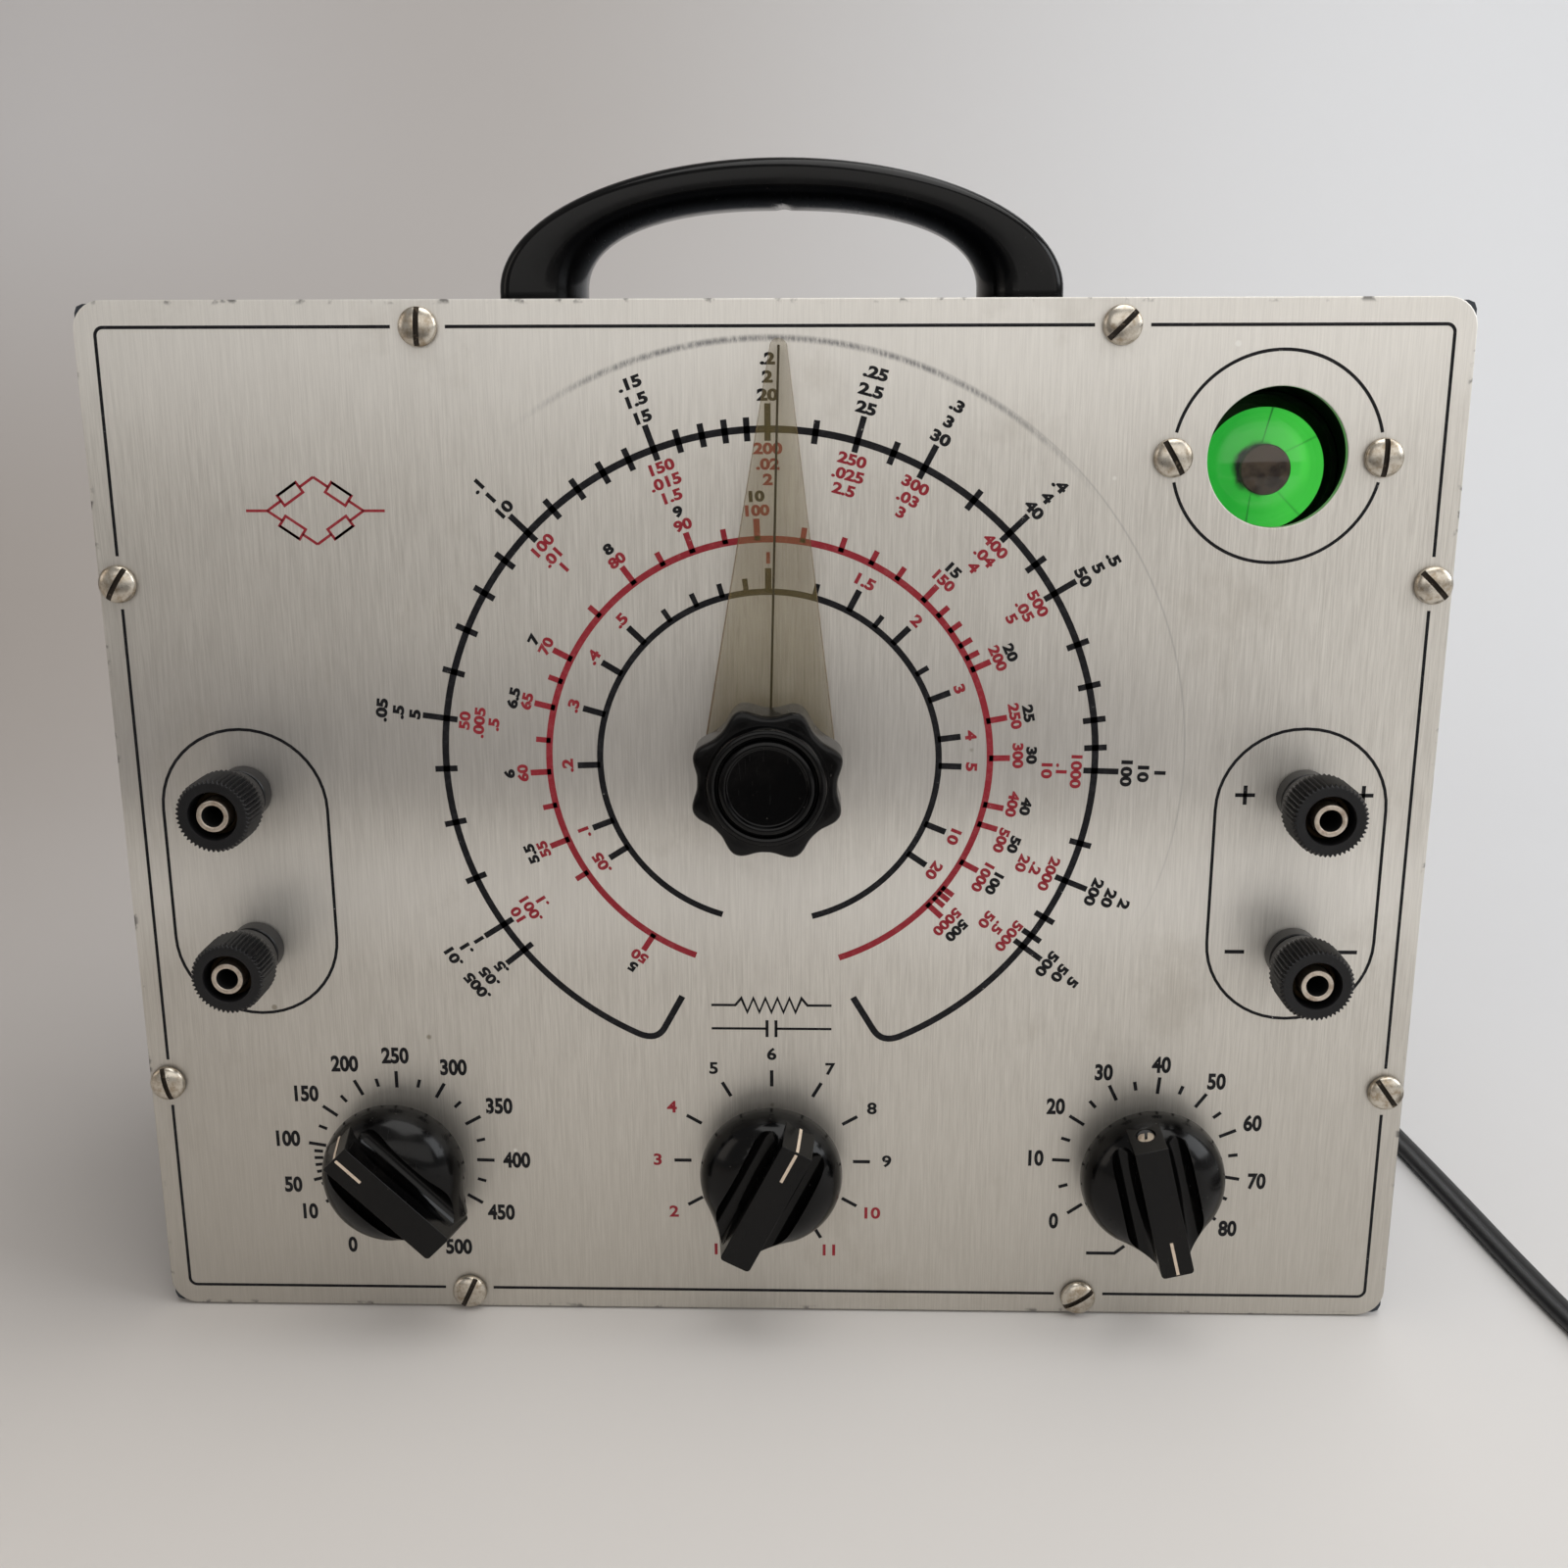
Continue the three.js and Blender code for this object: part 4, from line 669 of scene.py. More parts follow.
def along(route, outline):
    """Rings of an outline set across a route, kept level."""
    rings = []
    last = len(route) - 1
    for i, spot in enumerate(route):
        heading = (route[min(i + 1, last)] - route[max(i - 1, 0)]).normalized()
        side = heading.cross(Vector((0, 0, 1))).normalized()
        up = side.cross(heading)
        rings.append([spot + side * across + up * rise for across, rise in outline])
    return rings


def rounded(half_x, half_y, corner, steps=5):
    """A rectangle with round corners, as pairs in mm, from the right side round by the top."""
    points = []
    for quarter, (x, y) in enumerate(((1, 1), (-1, 1), (-1, -1), (1, -1))):
        for step in range(steps + 1):
            right, up = around(corner, (quarter + step / steps) * math.pi / 2)
            points.append((x * (half_x - corner) + right, y * (half_y - corner) + up))
    return points


def mains_plug():
    """A moulded plug that heads along +Y, from its neck to its flat prongs."""
    start, middle_x = plug_low.y / mm, lead_end.x / mm
    middle_z = plug_half_height / mm
    stations = [
        (0, 3.9, 3.9, 3.8), (0.8, 4.6, 4.5, 4.3), (5, 5, 5, 4.8), (7, 7, 5.6, 4.9),
        (9.5, 10.4, 6.5, 5), (12, 11.8, 6.95, 5), (15, 12, 7, 5), (20, 11.4, 6.6, 5),
        (25, 11.5, 6.6, 5), (30, 12, 7, 5), (32.2, 11.8, 6.8, 4.8), (33, 11, 6, 4),
    ]
    rings = [
        [(middle_x - x, start + y, middle_z + z) for x, z in rounded(*sizes)]
        for y, *sizes in stations
    ]
    body = smooth(skin("plug_body", rings), 50)
    offset, half_thick, half_wide, root, tip, eye_y = 6.35, 0.75, 3.15, 32, 49, 45.4
    prongs = []
    for side in (-1, 1):
        x = middle_x + side * offset
        prong = block("prong", (x - half_thick, start + root, middle_z - half_wide),
                      (x + half_thick, start + tip, middle_z + half_wide))
        spot = Vector((x, start + eye_y, middle_z)) * mm
        cut_by(prong, moved(drill(1.4, -3, 3), spot, (90, "Y")))
        prongs.append(bevelled(prong, 0.3, 3))
    return body, smooth(joined("plug_prongs", prongs))


def strain_relief():
    """A ribbed rubber sleeve on the back."""
    profile = [(5.6, -4), (6.1, -3.6), (6.1, 0.3), (9, 0.3), (9.4, 0.7), (9.4, 2.4), (9, 2.9)]
    ribs = 7
    for rib in range(ribs):
        radius = 5.8 - 1.4 * rib / (ribs - 1)
        start = 2.9 + rib * 3
        profile += [(radius - 0.9, start + 0.2), (radius - 0.9, start + 1.1),
                    (radius, start + 1.4), (radius - 0.05, start + 2.8)]
    sleeve = turned("lead_sleeve", profile + [(3.9, 24)], 48)
    return smooth(moved(sleeve, (hole_x, case_high.y, hole_z), (-90, "X")))


lead = smooth(skin("mains_lead", along(lead_route, flex_outline()), unit=1), 60)
dress([lead], black_rubber)
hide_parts("power_cord", "cord_coil")
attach(lead, "instrument")
plug_body, plug_prongs = mains_plug()
fit(plug_body, black_rubber, "plug")
fit(plug_prongs, brass)
fit(strain_relief(), black_rubber, "cord_grommet")
print("lead of", len(lead.data.polygons), "faces")

# %% [markdown]
# The handle is an arch, thick at the feet and slim at the top, between half an ellipse outside and
# a squarer curve inside. Each station joins a point of the inner curve to one of the outer. As in
# the photo, it is a little narrower and lower than the solid one and stands a little to the right.

# %% The handle
handle_low, handle_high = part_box("carrying_handle")


def grip_outline(half_depth, half, steps=7):
    """Soft shoulders on the outside of the arch and one round side on its inside."""
    edge = min(2.6, half * 0.6)
    points = []
    for side in (1, -1):
        corner = []
        for i in range(steps + 1):
            out, up = around(edge, math.pi / 2 * i / steps)
            corner.append((side * (half_depth - edge + out), half - edge + up))
        points += corner[::side]
    for i in range(2 * steps + 1):
        out, up = around(1, math.pi * (1 + i / (2 * steps)))
        points.append((half_depth * out, half * (0.9 * up - 0.1)))
    return points


def handle_arch(stations=72):
    narrower, lower, shift = 1.6, 1.2, 0.95
    inner_x, inner_top, foot, squareness = 41.5, 20.1, 3.4, 0.84
    outer_x = (handle_high.x - handle_low.x) / 2 / mm - narrower
    outer_top = (handle_high.z - handle_low.z) / mm - lower
    half_depth = (handle_high.y - handle_low.y) / 2 / mm
    base = handle_low.z / mm
    rings = []

    def ring_at(angle, drop=0.0, shrink=0.0):
        x, z = around(1, angle)
        full_x, full_z = math.copysign(abs(x) ** squareness, x), z ** squareness
        inner = Vector((inner_x * full_x, foot + (inner_top - foot) * full_z - drop))
        outer = Vector((outer_x * x, foot + (outer_top - foot) * z - drop))
        middle, across = (inner + outer) / 2, (outer - inner) / 2
        half = across.length
        ring = []
        for y, reach in grip_outline(half_depth - shrink, half - shrink):
            spot = middle + across * (reach / half)
            ring.append((shift + spot.x, y, base + spot.y))
        rings.append(ring)

    rounding = ((foot, 1.2), (foot - 0.5, 0.3), (foot - 1.2, 0))
    for drop, shrink in rounding:
        ring_at(0, drop, shrink)
    for station in range(stations + 1):
        ring_at(math.pi * station / stations)
    for drop, shrink in rounding[::-1]:
        ring_at(math.pi, drop, shrink)
    spot = Vector((shift + 0.4, 0, base + inner_top - 1.9)) * mm
    notch = moved(drill(2.6, -9, 9, 32), spot, (90, "X"))
    return smooth(cut_by(skin("handle_grip", rings), notch), 50)


def gloss_black():
    """Black phenolic with dust in fine specks and rubbed, duller patches."""
    stuff = Finish("black_phenolic", (0.004, 0.004, 0.0045), specular_ior_level=0.2,
                   coat_roughness=0.05)
    rubbed = stuff.noise(55, detail=5, roughness=0.7)
    scratch = stuff.noise(2600, 240, 240, detail=2).step(0.66, 0.72)
    dust = stuff.spots(900, 0.05, 0.14).most(stuff.noise(1500).step(0.7, 0.78) * 0.6)
    color = stuff.mix(
        (0.0012, 0.0012, 0.0014), (rubbed.step(0.4, 0.7), (0.004, 0.0036, 0.0034)),
        (dust * 0.35, (0.12, 0.115, 0.105)),
    )
    stuff.wear(
        base_color=color, coat_weight=0.09 - rubbed * 0.08,
        roughness=0.16 + rubbed.step(0.45, 0.75) * 0.14 + scratch * 0.12 + dust * 0.25,
    )
    stuff.bump(rubbed * 0.7 - scratch * 0.3, 0.012, 0.4)
    return stuff


black_phenolic = gloss_black()
grip = fit(handle_arch(), black_phenolic, "carrying_handle")
print("handle of", len(grip.data.polygons), "faces")

# %% [markdown]
# The dial's knob is round at its hub and fluted at its rim. The flutes are a cosine round the
# ring, raised to a power that narrows the ribs between them, and each step of the profile says how
# deep they go, so they fade in and out. The pointer under it is clear plastic gone yellow, with a
# line scored down its back and filled.

# %% The main dial
dial_turn = 1.4  # degrees clockwise, as the photo's pointer stands
pointer_tip, shoulder, shoulder_height = 1.6, 12.3, 4.5


def scalloped(name, profile, sides, lobes, sharp=1.0, closed=False):
    """A turned piece with flutes. The profile is triples: radius, height, depth of the flutes."""
    rings = []
    for radius, height, depth in profile:
        ring = []
        for i in range(sides):
            angle = 2 * math.pi * i / sides
            flute = depth * (1 - (0.5 - 0.5 * math.cos(lobes * angle)) ** sharp)
            ring.append((*around(radius - flute, angle), height))
        rings.append(ring)
    return skin(name, rings, closed)


def dial_knob():
    profile = [
        (8.7, 5.1, 0), (9.25, 5.35, 0), (9.4, 5.9, 0), (9.4, 9.2, 0), (9.7, 9.6, 0),
        (11.4, 9.72, 0.4), (13.3, 9.8, 1.2), (14, 9.95, 1.55), (14.4, 10.35, 1.7),
        (14.5, 10.9, 1.75), (14.5, 18.2, 1.75), (14.42, 18.8, 1.75), (14.15, 19.2, 1.7),
        (13.7, 19.4, 1.6),
        (12.6, 19.46, 0.8), (11.6, 19.46, 0.1), (11.2, 19.5, 0), (11.1, 19.8, 0), (10.95, 20.7, 0),
        (10.7, 21.15, 0), (10.3, 21.38, 0), (9.9, 21.38, 0), (9.5, 21.2, 0), (9.25, 20.85, 0),
        (9.15, 20.4, 0), (9, 20.4, 0), (8.85, 20.95, 0), (8.6, 21.4, 0), (8.2, 21.6, 0),
        (7.8, 21.62, 0), (7.5, 21.5, 0), (7.35, 21.2, 0), (7.25, 20.75, 0), (7, 20.62, 0),
        (4, 20.6, 0), (0.4, 20.6, 0),
    ]
    return smooth(scalloped("dial_fluted_knob", profile, 192, 8, 1.35), 30)


def pointer_plate():
    """The outline is an arc round the knob and one round the tip. A line is scored in its back."""
    start = math.atan2(shoulder_height, shoulder)
    foot, reach = math.hypot(shoulder, shoulder_height), pointer_reach / mm
    outline = [
        around(foot, math.pi - start + (math.pi + 2 * start) * i / 48) for i in range(49)
    ]
    for i in range(17):
        x, y = around(pointer_tip, math.pi * i / 16)
        outline.append((x, reach - pointer_tip + y))
    back, face, line_half = 3.3, 4.8, 0.22
    plate = skin("pointer_plate", [[(x, y, z) for x, y in outline] for z in (back, face)])
    cut_by(plate, drill(3.5, 2, 6, 48))
    line = block("pointer_line", (-line_half, 11, back - 0.04),
                 (line_half, reach - 1.2, back + 0.12))
    return smooth(bevelled(plate, 0.14, 2)), line


# The plate's sides run straight from its shoulders to its tip, so its half width is a straight
# line. The brown of the cut sides is drawn towards a tip a little blunter than the cut one.
drawn_tip = 1.8
edge_slope = (shoulder - drawn_tip) / (pointer_reach / mm - drawn_tip - shoulder_height)
edge_start = (shoulder + shoulder_height * edge_slope) * mm


def amber_clear():
    """Yellowed acrylic: most of what is behind it shows through, and its cut sides are dark."""
    clear = Finish("yellowed_acrylic", (0.3, 0.245, 0.115), coat_weight=0.5, coat_roughness=0.04)
    x, _, z = clear.parts()
    up = z - dial_z
    across = abs(x - dial_x - up * math.tan(math.radians(dial_turn)))
    edge = (across + up * edge_slope).band(edge_start, 0.8 * mm)
    cloud = clear.noise(70, detail=4)
    scratch = clear.noise(1500, 1500, 130, detail=3).step(0.62, 0.7)
    color = clear.mix(
        (0.3, 0.235, 0.09), (cloud.step(0.35, 0.65), (0.235, 0.175, 0.06)),
        (edge, (0.15, 0.075, 0.025)),
    )
    clear.wear(
        base_color=color, alpha=0.17 + cloud * 0.08 + scratch * 0.06 + edge * 0.5,
        roughness=0.14 + scratch * 0.25 + cloud * 0.1,
    )
    clear.bump(cloud, 0.01, 0.4)
    return clear


def printed(name, color, faded):
    """Silk-screen ink with a few flecks gone."""
    ink = Finish(name, color, specular_ior_level=0.2)
    body = ink.noise(800, detail=4, roughness=0.7)
    ink.wear(
        base_color=ink.mix(color, (body.step(0.45, 0.75) * 0.5, faded)),
        alpha=1 - body.step(0.68, 0.74) * 0.8, roughness=0.4 + body * 0.2,
    )
    ink.bump(body, 0.004, 0.4)
    return ink


black_ink = printed("black_ink", (0.005, 0.005, 0.007), (0.04, 0.04, 0.044))
red_ink = printed("red_ink", (0.3, 0.022, 0.034), (0.4, 0.09, 0.1))
cream_paint = printed("cream_paint", (0.72, 0.6, 0.48), (0.5, 0.4, 0.3))
knob, pointer, hairline = (
    stand(part, dial_x, dial_z, dial_turn) for part in (dial_knob(), *pointer_plate())
)
fit(knob, black_phenolic, "dial_knob", "main_dial")
fit(pointer, amber_clear(), "dial_pointer", "main_dial")
fit(hairline, black_ink, body="main_dial")
print("dial knob of", len(knob.data.polygons), "faces")

# %% [markdown]
# The three small knobs are one moulding: a drum whose outline is drawn out to a nose, with a grip
# bar across it and a round-bottomed groove on each side of the bar. The drum is a loft of outlines
# that shrink along a smooth curve. Two of the knobs point with the blunt end, the third with its
# nose.

# %% The bar knobs
rim, stand_off, rim_top, crown = 14.3, 5.0, 6.6, 14.6
bar_half, bar_top, nose_top, nose_foot, blunt_top = 3.2, 17.6, 15.4, 17.7, 11.9
groove_radius, groove_height, groove_end = 2.2, 13.2, 9.6


def curve_by(start, corner, end, steps):
    """Points on a curve that leaves its start for a corner and turns to its end."""
    shares = [i / steps for i in range(1, steps + 1)]
    return [start.lerp(corner, t).lerp(corner.lerp(end, t), t) for t in shares]


def drum_outline(radius, reach, half, bow=0.5, steps=80):
    """A circle that runs out to the two corners of the nose, a little hollow on the way."""
    tangent = math.atan2(reach, half) - math.acos(min(1, radius / math.hypot(half, reach)))
    points = []
    for i in range(steps + 1):
        angle = -tangent + (math.pi + 2 * tangent) * i / steps
        points.append(Vector(around(radius, angle)))
    flanks = []
    for side, start in ((-1, points[-1]), (1, points[0])):
        corner = Vector((side * half, -reach))
        flank = [
            start.lerp(corner, i / 8) - Vector((side * bow * math.sin(math.pi * i / 8), 0))
            for i in range(1, 8)
        ]
        foot = corner - Vector((side * 1.2, 0))
        flanks.append(flank + curve_by(flank[-1], corner, foot, 4))
    return points + flanks[0] + flanks[1][::-1]


def knob_drum():
    stations = [(rim - 0.35, stand_off), (rim, stand_off + 0.35), (rim, rim_top)]
    curve = [(0, 1), (0.3, 0.965), (0.6, 0.86), (0.86, 0.66), (1, 0.4)]
    for share in smooth_route(curve, 4)[1:]:
        stations.append((rim * share.y, rim_top + (crown - rim_top) * share.x))
    rings = []
    for radius, out in stations:
        lean = max(0, out - rim_top) / (crown - rim_top)
        reach = nose_foot + (nose_top - nose_foot) * lean - 0.4
        rings.append([(x, y, out) for x, y in drum_outline(radius, reach, bar_half - 0.2)])
    drum = skin("knob_drum", rings)
    for side in (-1, 1):
        cut_by(drum, groove_cutter(side * (bar_half + groove_radius)))
    return smooth(bevelled(drum, 0.22, 3, 40), 40)


def groove_cutter(x):
    """A channel with a round floor and a round end."""
    stations = [(-22, groove_radius)]
    for i in range(9):
        radius, on = around(groove_radius, math.radians(11 * i))
        stations.append((groove_end + on, radius))
    rings = []
    for y, radius in stations:
        ring = [(x + radius, y, 20)]
        for i in range(17):
            across, up = around(radius, -math.pi * i / 16)
            ring.append((x + across, y, groove_height + up))
        rings.append([*ring, (x - radius, y, 20)])
    return skin("groove", rings)


def knob_bar():
    side = [
        (rim - 0.45, 5.8), (rim - 0.75, 8.2), (blunt_top, bar_top), (-nose_top, bar_top),
        (-nose_foot, 6), (-nose_foot + 0.5, 5.2),
    ]
    bar = skin("knob_bar", [[(x, y, z) for y, z in side] for x in (-bar_half, bar_half)])
    edit(bar)
    choose_edges(bar, lambda a, b: max(a.y, b.y) < -15 * mm and abs(a.x - b.x) < mm)
    bpy.ops.mesh.bevel(offset=0.75 * mm, segments=4, affect="EDGES")
    tidy_faces()
    return smooth(bevelled(bar, 0.3, 4, 12), 40)


def inlay(points, half=0.3, low=-0.3, lift=0.06):
    """A painted line that follows pairs of reach and height on the bar."""
    section = ((-half, low), (half, low), (half, lift), (-half, lift))
    return skin("knob_line", [[(x, y, z + up) for x, up in section] for y, z in points])


def set_screw(radius=1.75):
    """A slotted screw sunk in the sloping end of the bar, and the drill for its hole."""
    screw = turned("set_screw", [(radius, -2), (radius, -0.45), (radius - 0.2, -0.25)], 40)
    cut_by(screw, block("slot", (-0.3, -3, -0.95), (0.3, 3, 1)))
    hole = drill(radius + 0.2, -2.2, 2, 40)
    spot, lean, slot_turn = Vector((0, 12.65, 12.3)) * mm, -80.4, -12
    for piece in (screw, hole):
        moved(piece, spot, (lean, "X"), (slot_turn, "Z"))
    return smooth(screw), hole


knob_turns = {"voltage": -45, "range": 27, "power_factor": -14}
drum_pattern, bar_pattern = knob_drum(), knob_bar()
blunt_line = [(5, bar_top), (9, bar_top), (11.3, bar_top), (11.9, 17.4), (12.3, 16), (13.5, 9.2)]
nose_line = [(-8, bar_top), (-12, bar_top), (-15, bar_top), (-15.6, 17.2), (-17.2, 9)]
for control, turn in knob_turns.items():
    place, body = (*middle_of(control + "_shaft"), turn), control + "_control"
    bar = copy_of(bar_pattern, "bar")
    if control == "power_factor":
        screw, hole = set_screw()
        cut_by(bar, hole)
        fit(stand(screw, *place), nickel, body=body)
    line = inlay(nose_line if control == "power_factor" else blunt_line)
    line.name = control + "_line"
    fit(stand(line, *place), cream_paint, body=body)
    whole = joined(control + "_bar_knob", [copy_of(drum_pattern, "drum"), bar])
    fit(stand(whole, *place), black_phenolic, control + "_knob", body)
for pattern in (drum_pattern, bar_pattern):
    bpy.data.objects.remove(pattern)
print("bar knob of", len(whole.data.polygons), "faces")

# %% [markdown]
# A binding post is a hollow stack: a collar on the panel, a metal tube that takes a banana plug,
# and a knurled cap that screws down on the wire. The plain parts are spun from a closed profile,
# down the outside and up the bore. The knurl is the dial knob's cosine again, 48 times round.

# %% The binding posts
def post_cap():
    profile = [
        (3.2, 6.3, 0), (5.5, 6.3, 0), (5.75, 6.55, 0), (5.75, 9.3, 0), (6.05, 9.7, 0),
        (6.6, 10.05, 0.1), (6.9, 10.35, 0.45), (7, 10.8, 0.6), (7, 18, 0.6), (6.9, 18.3, 0.55),
        (6.7, 18.44, 0.4), (6.4, 18.5, 0.15), (6, 18.5, 0), (4.65, 18.45, 0), (4.5, 18.2, 0),
        (4.5, 8.1, 0), (3.2, 8.1, 0),
    ]
    return smooth(scalloped("cap", profile, 288, 48, 1.2, True), 38)


def post_stud():
    stud = turned("stud", [
        (1.7, -14.1), (2, -13.8), (2, 5.8), (3.05, 5.8), (3.05, 18.2), (2.95, 18.36), (2.8, 18.4),
        (2.2, 18.4), (2.08, 18.34), (2, 18.2), (2, 6.8), (0.3, 6.6),
    ], 64)
    cut_by(stud, moved(drill(1.1, -5, 5), (0, 0, 8 * mm), (90, "X")))
    nut = turned("nut", [(4.2, -5.1), (4.5, -4.9), (4.5, -2.9), (4.2, -2.7)], 6)
    return smooth(joined("stud", [stud, nut]))


def dress_twice(piece, finish, second, test):
    """Gives a piece a finish, and a second one where its faces pass a test in the bench's mm."""
    dress([piece], finish)
    piece.data.materials.append(second.material)
    for face in piece.data.polygons:
        face.material_index = int(test(face.center / mm, face.normal))


post_parts = {
    "insulator": (smooth(spun("insulator", [
        (2.3, -2.4), (3.9, -2.4), (3.9, 0.3), (4.95, 0.3), (5.2, 0.55), (5.2, 4.05), (5, 4.3),
        (4.4, 4.3), (4.4, 5.5), (2.3, 5.5),
    ])), post_black, "post_plastic", "instrument"),
    "stud": (post_stud(), None, "nickel", "instrument"),
    "liner": (smooth(spun("liner", [
        (3.2, 8.4), (4.2, 8.4), (4.2, 15.4), (4, 15.6), (3.4, 15.6), (3.2, 15.4),
    ])), brass_in_painted_shade, "brass", "sleeve"),
    "cap": (post_cap(), post_black, "post_plastic", "grip"),
}
# The inside of the stud's bore gets flat black: painted shade down the hole.
bore_edge, bore_floor = 2.06, 5
dress_twice(post_parts["stud"][0], nickel, flat_black,
            lambda spot, _: math.hypot(spot.x, spot.y) < bore_edge and spot.z > bore_floor)
for post in ("left_upper", "left_lower", "right_upper", "right_lower"):
    for part, (pattern, finish, slot, body) in post_parts.items():
        node = f"post_{post}_{part}"
        piece = stand(copy_of(pattern, "fine_" + node), *middle_of(f"post_{post}_insulator"))
        fit(piece, finish, node, body if body == "instrument" else f"post_{post}_{body}")
print("cap of", len(post_parts["cap"][0].data.polygons), "faces, four times")
for pattern, *_ in post_parts.values():
    bpy.data.objects.remove(pattern)

# %% [markdown]
# The screws are all one pattern, with a domed head and a cut slot, each left at the turn that the
# last screwdriver gave it. The faces inside the slot get a second finish, because dirt gathers
# there and a brush never reaches it.

# %% The screws
def aged_nickel():
    metal = Finish("screw_nickel", (0.62, 0.58, 0.51), metallic=1.0)
    _, y, _ = metal.parts()
    stain = metal.noise(520, detail=5, roughness=0.7)
    fine = metal.noise(3000, detail=2)
    low = (y - front).step(-1.1 * mm, -0.5 * mm)
    color = metal.mix(
        (0.61, 0.565, 0.49), (stain.step(0.4, 0.7), (0.34, 0.27, 0.19)),
        (low * 0.6, (0.14, 0.1, 0.06)),
    )
    metal.wear(base_color=color, roughness=0.2 + stain * 0.2 + low * 0.25)
    metal.bump(fine + stain * 0.5, 0.01, 0.5)
    return metal


def slot_dirt():
    dirt = Finish("slot_dirt", (0.03, 0.02, 0.012))
    clumps = dirt.noise(900, detail=4, roughness=0.7)
    bare = clumps.step(0.55, 0.7)
    dirt.wear(
        base_color=dirt.mix((0.025, 0.017, 0.01), (bare, (0.22, 0.17, 0.12))),
        metallic=bare * 0.7, roughness=0.75 - bare * 0.3,
    )
    dirt.bump(clumps, 0.05, 0.6)
    return dirt


slot_turns = {
    "panel_screw_top_left": 2, "panel_screw_top_right": 45, "panel_screw_side_left_upper": 32,
    "panel_screw_side_left_lower": -12, "panel_screw_side_right_upper": -45,
    "panel_screw_side_right_lower": -36, "panel_screw_bottom_left": 25,
    "panel_screw_bottom_right": 58, "eye_screw_left": -30, "eye_screw_right": 2,
}
head, brim, dome_height, slot_half, slot_floor, near = 3.55, 0.9, 1.3, 0.5, 1.2, 0.01
dome = [around(1, math.radians(angle)) for angle in range(0, 86, 12)]
screw_pattern = turned("screw", [
    (1.65, -7.5), (1.65, 0.3), (head - 0.2, 0.3), (head, 0.5),
    *((head * out, brim + dome_height * up) for out, up in dome),
], 64)
cut_by(screw_pattern, block("slot", (-slot_half, -5, slot_floor), (slot_half, 5, 4)))
smooth(bevelled(screw_pattern, 0.07, 2, 50))
dress_twice(screw_pattern, aged_nickel(), slot_dirt(), lambda spot, normal:
            abs(spot.x) < slot_half + near and spot.z > slot_floor - near
            and (spot.z < slot_floor + near or abs(normal.x) > 0.9))
for node, turn in slot_turns.items():
    piece = copy_of(screw_pattern, "fine_" + node)
    fit(stand(piece, *middle_of(node), turn), None, node)
bpy.data.objects.remove(screw_pattern)
print("screws:", len(slot_turns))

# %% [markdown]
# The tuning eye glows by itself. Its target is a shallow dish whose phosphor starts a little way
# out from the middle, and the fine wires inside throw four dark lines on it. Its colour is worked
# out from how far round and how far out the place is. Real glass stands in front of it.

# %% The tuning eye
eye_x, eye_z = middle_of("eye_glass")
ear_offset = 19.05


def eye_shroud():
    tube = spun("shroud_tube", [
        (16, -1.9), (16.9, -1.9), (16.9, -29.9), (14.9, -29.9), (14.9, -24.2), (16, -23.9),
    ], 96)
    stand(tube, eye_x, eye_z)
    ears = skin("shroud_ears", [
        [(x, y, z) for x, y in rounded(23, 9, 3)] for z in (-2.9, -1.9)
    ])
    cutters = [moved(drill(16.4, -5, 0, 96), (0, eye_z - eye_window[1], 0))]
    for side in (-1, 1):
        cutters.append(moved(drill(1.95, -5, 0), (side * ear_offset * mm, 0, 0)))
    cut_by(ears, joined("cutters", cutters))
    stand(ears, *eye_window)
    return smooth(joined("fine_eye_shroud", [tube, ears]))


def eye_glass():
    """A bulb with a domed end, drawn up the outside and down the inside."""
    top, bottom, dome_depth, radius, thickness, steps = -5.4, -43.4, 6.4, 14.6, 1, 20

    def wall(inset):
        spots = [around(1, math.radians(2) + math.radians(88) * i / steps)
                 for i in range(steps + 1)]
        return [((radius - inset) * out, top - inset - dome_depth * (1 - up))
                for up, out in spots] + [(radius - inset, bottom)]

    tip = 0.02
    profile = [(tip, top), *wall(0), *wall(thickness)[::-1], (tip, top - thickness)]
    return smooth(turned("fine_eye_glass", profile, 96), 50)


def glow():
    """Green phosphor between two radii, crossed by the wires' shadows."""
    lit = Finish("eye_glow", (0.01, 0.05, 0.014), emission_strength=0.6)
    x, _, z = lit.parts()
    across, up = x - eye_x, z - eye_z
    away = (across * across + up * up).root() / mm
    angle = lit.add("Math", {"operation": "ARCTAN2"}, {0: across, 1: up}) * (180 / math.pi)
    dark = 0
    for turn, width, depth in ((6, 3.4, 0.85), (58, 4, 0.4), (139, 4, 0.4), (-167, 3.4, 0.8)):
        dark = (angle.band(turn, width) * depth).most(dark)
    smoke = lit.noise(340, detail=5, roughness=0.7)
    right = across.step(-7 * mm, 8 * mm)
    streak = away.band(8.4, 2.6) * angle.band(72, 110)
    bright = right * 0.6 + smoke * 0.25 + streak * 0.35
    color = lit.mix(
        (0.015, 0.48, 0.04), (bright, (0.09, 0.96, 0.09)), (dark, (0.004, 0.09, 0.015)),
    )
    edge = (away + smoke * 2.4).step(5.2, 6.8)
    lit.wear(emission_color=lit.mix((0.001, 0.006, 0.002), (edge, color)), roughness=0.5)
    lit.wear(base_color=lit.mix((0.004, 0.005, 0.004), (edge, (0.01, 0.11, 0.02))))
    lit.bump(smoke, 0.02, 0.3)
    return lit


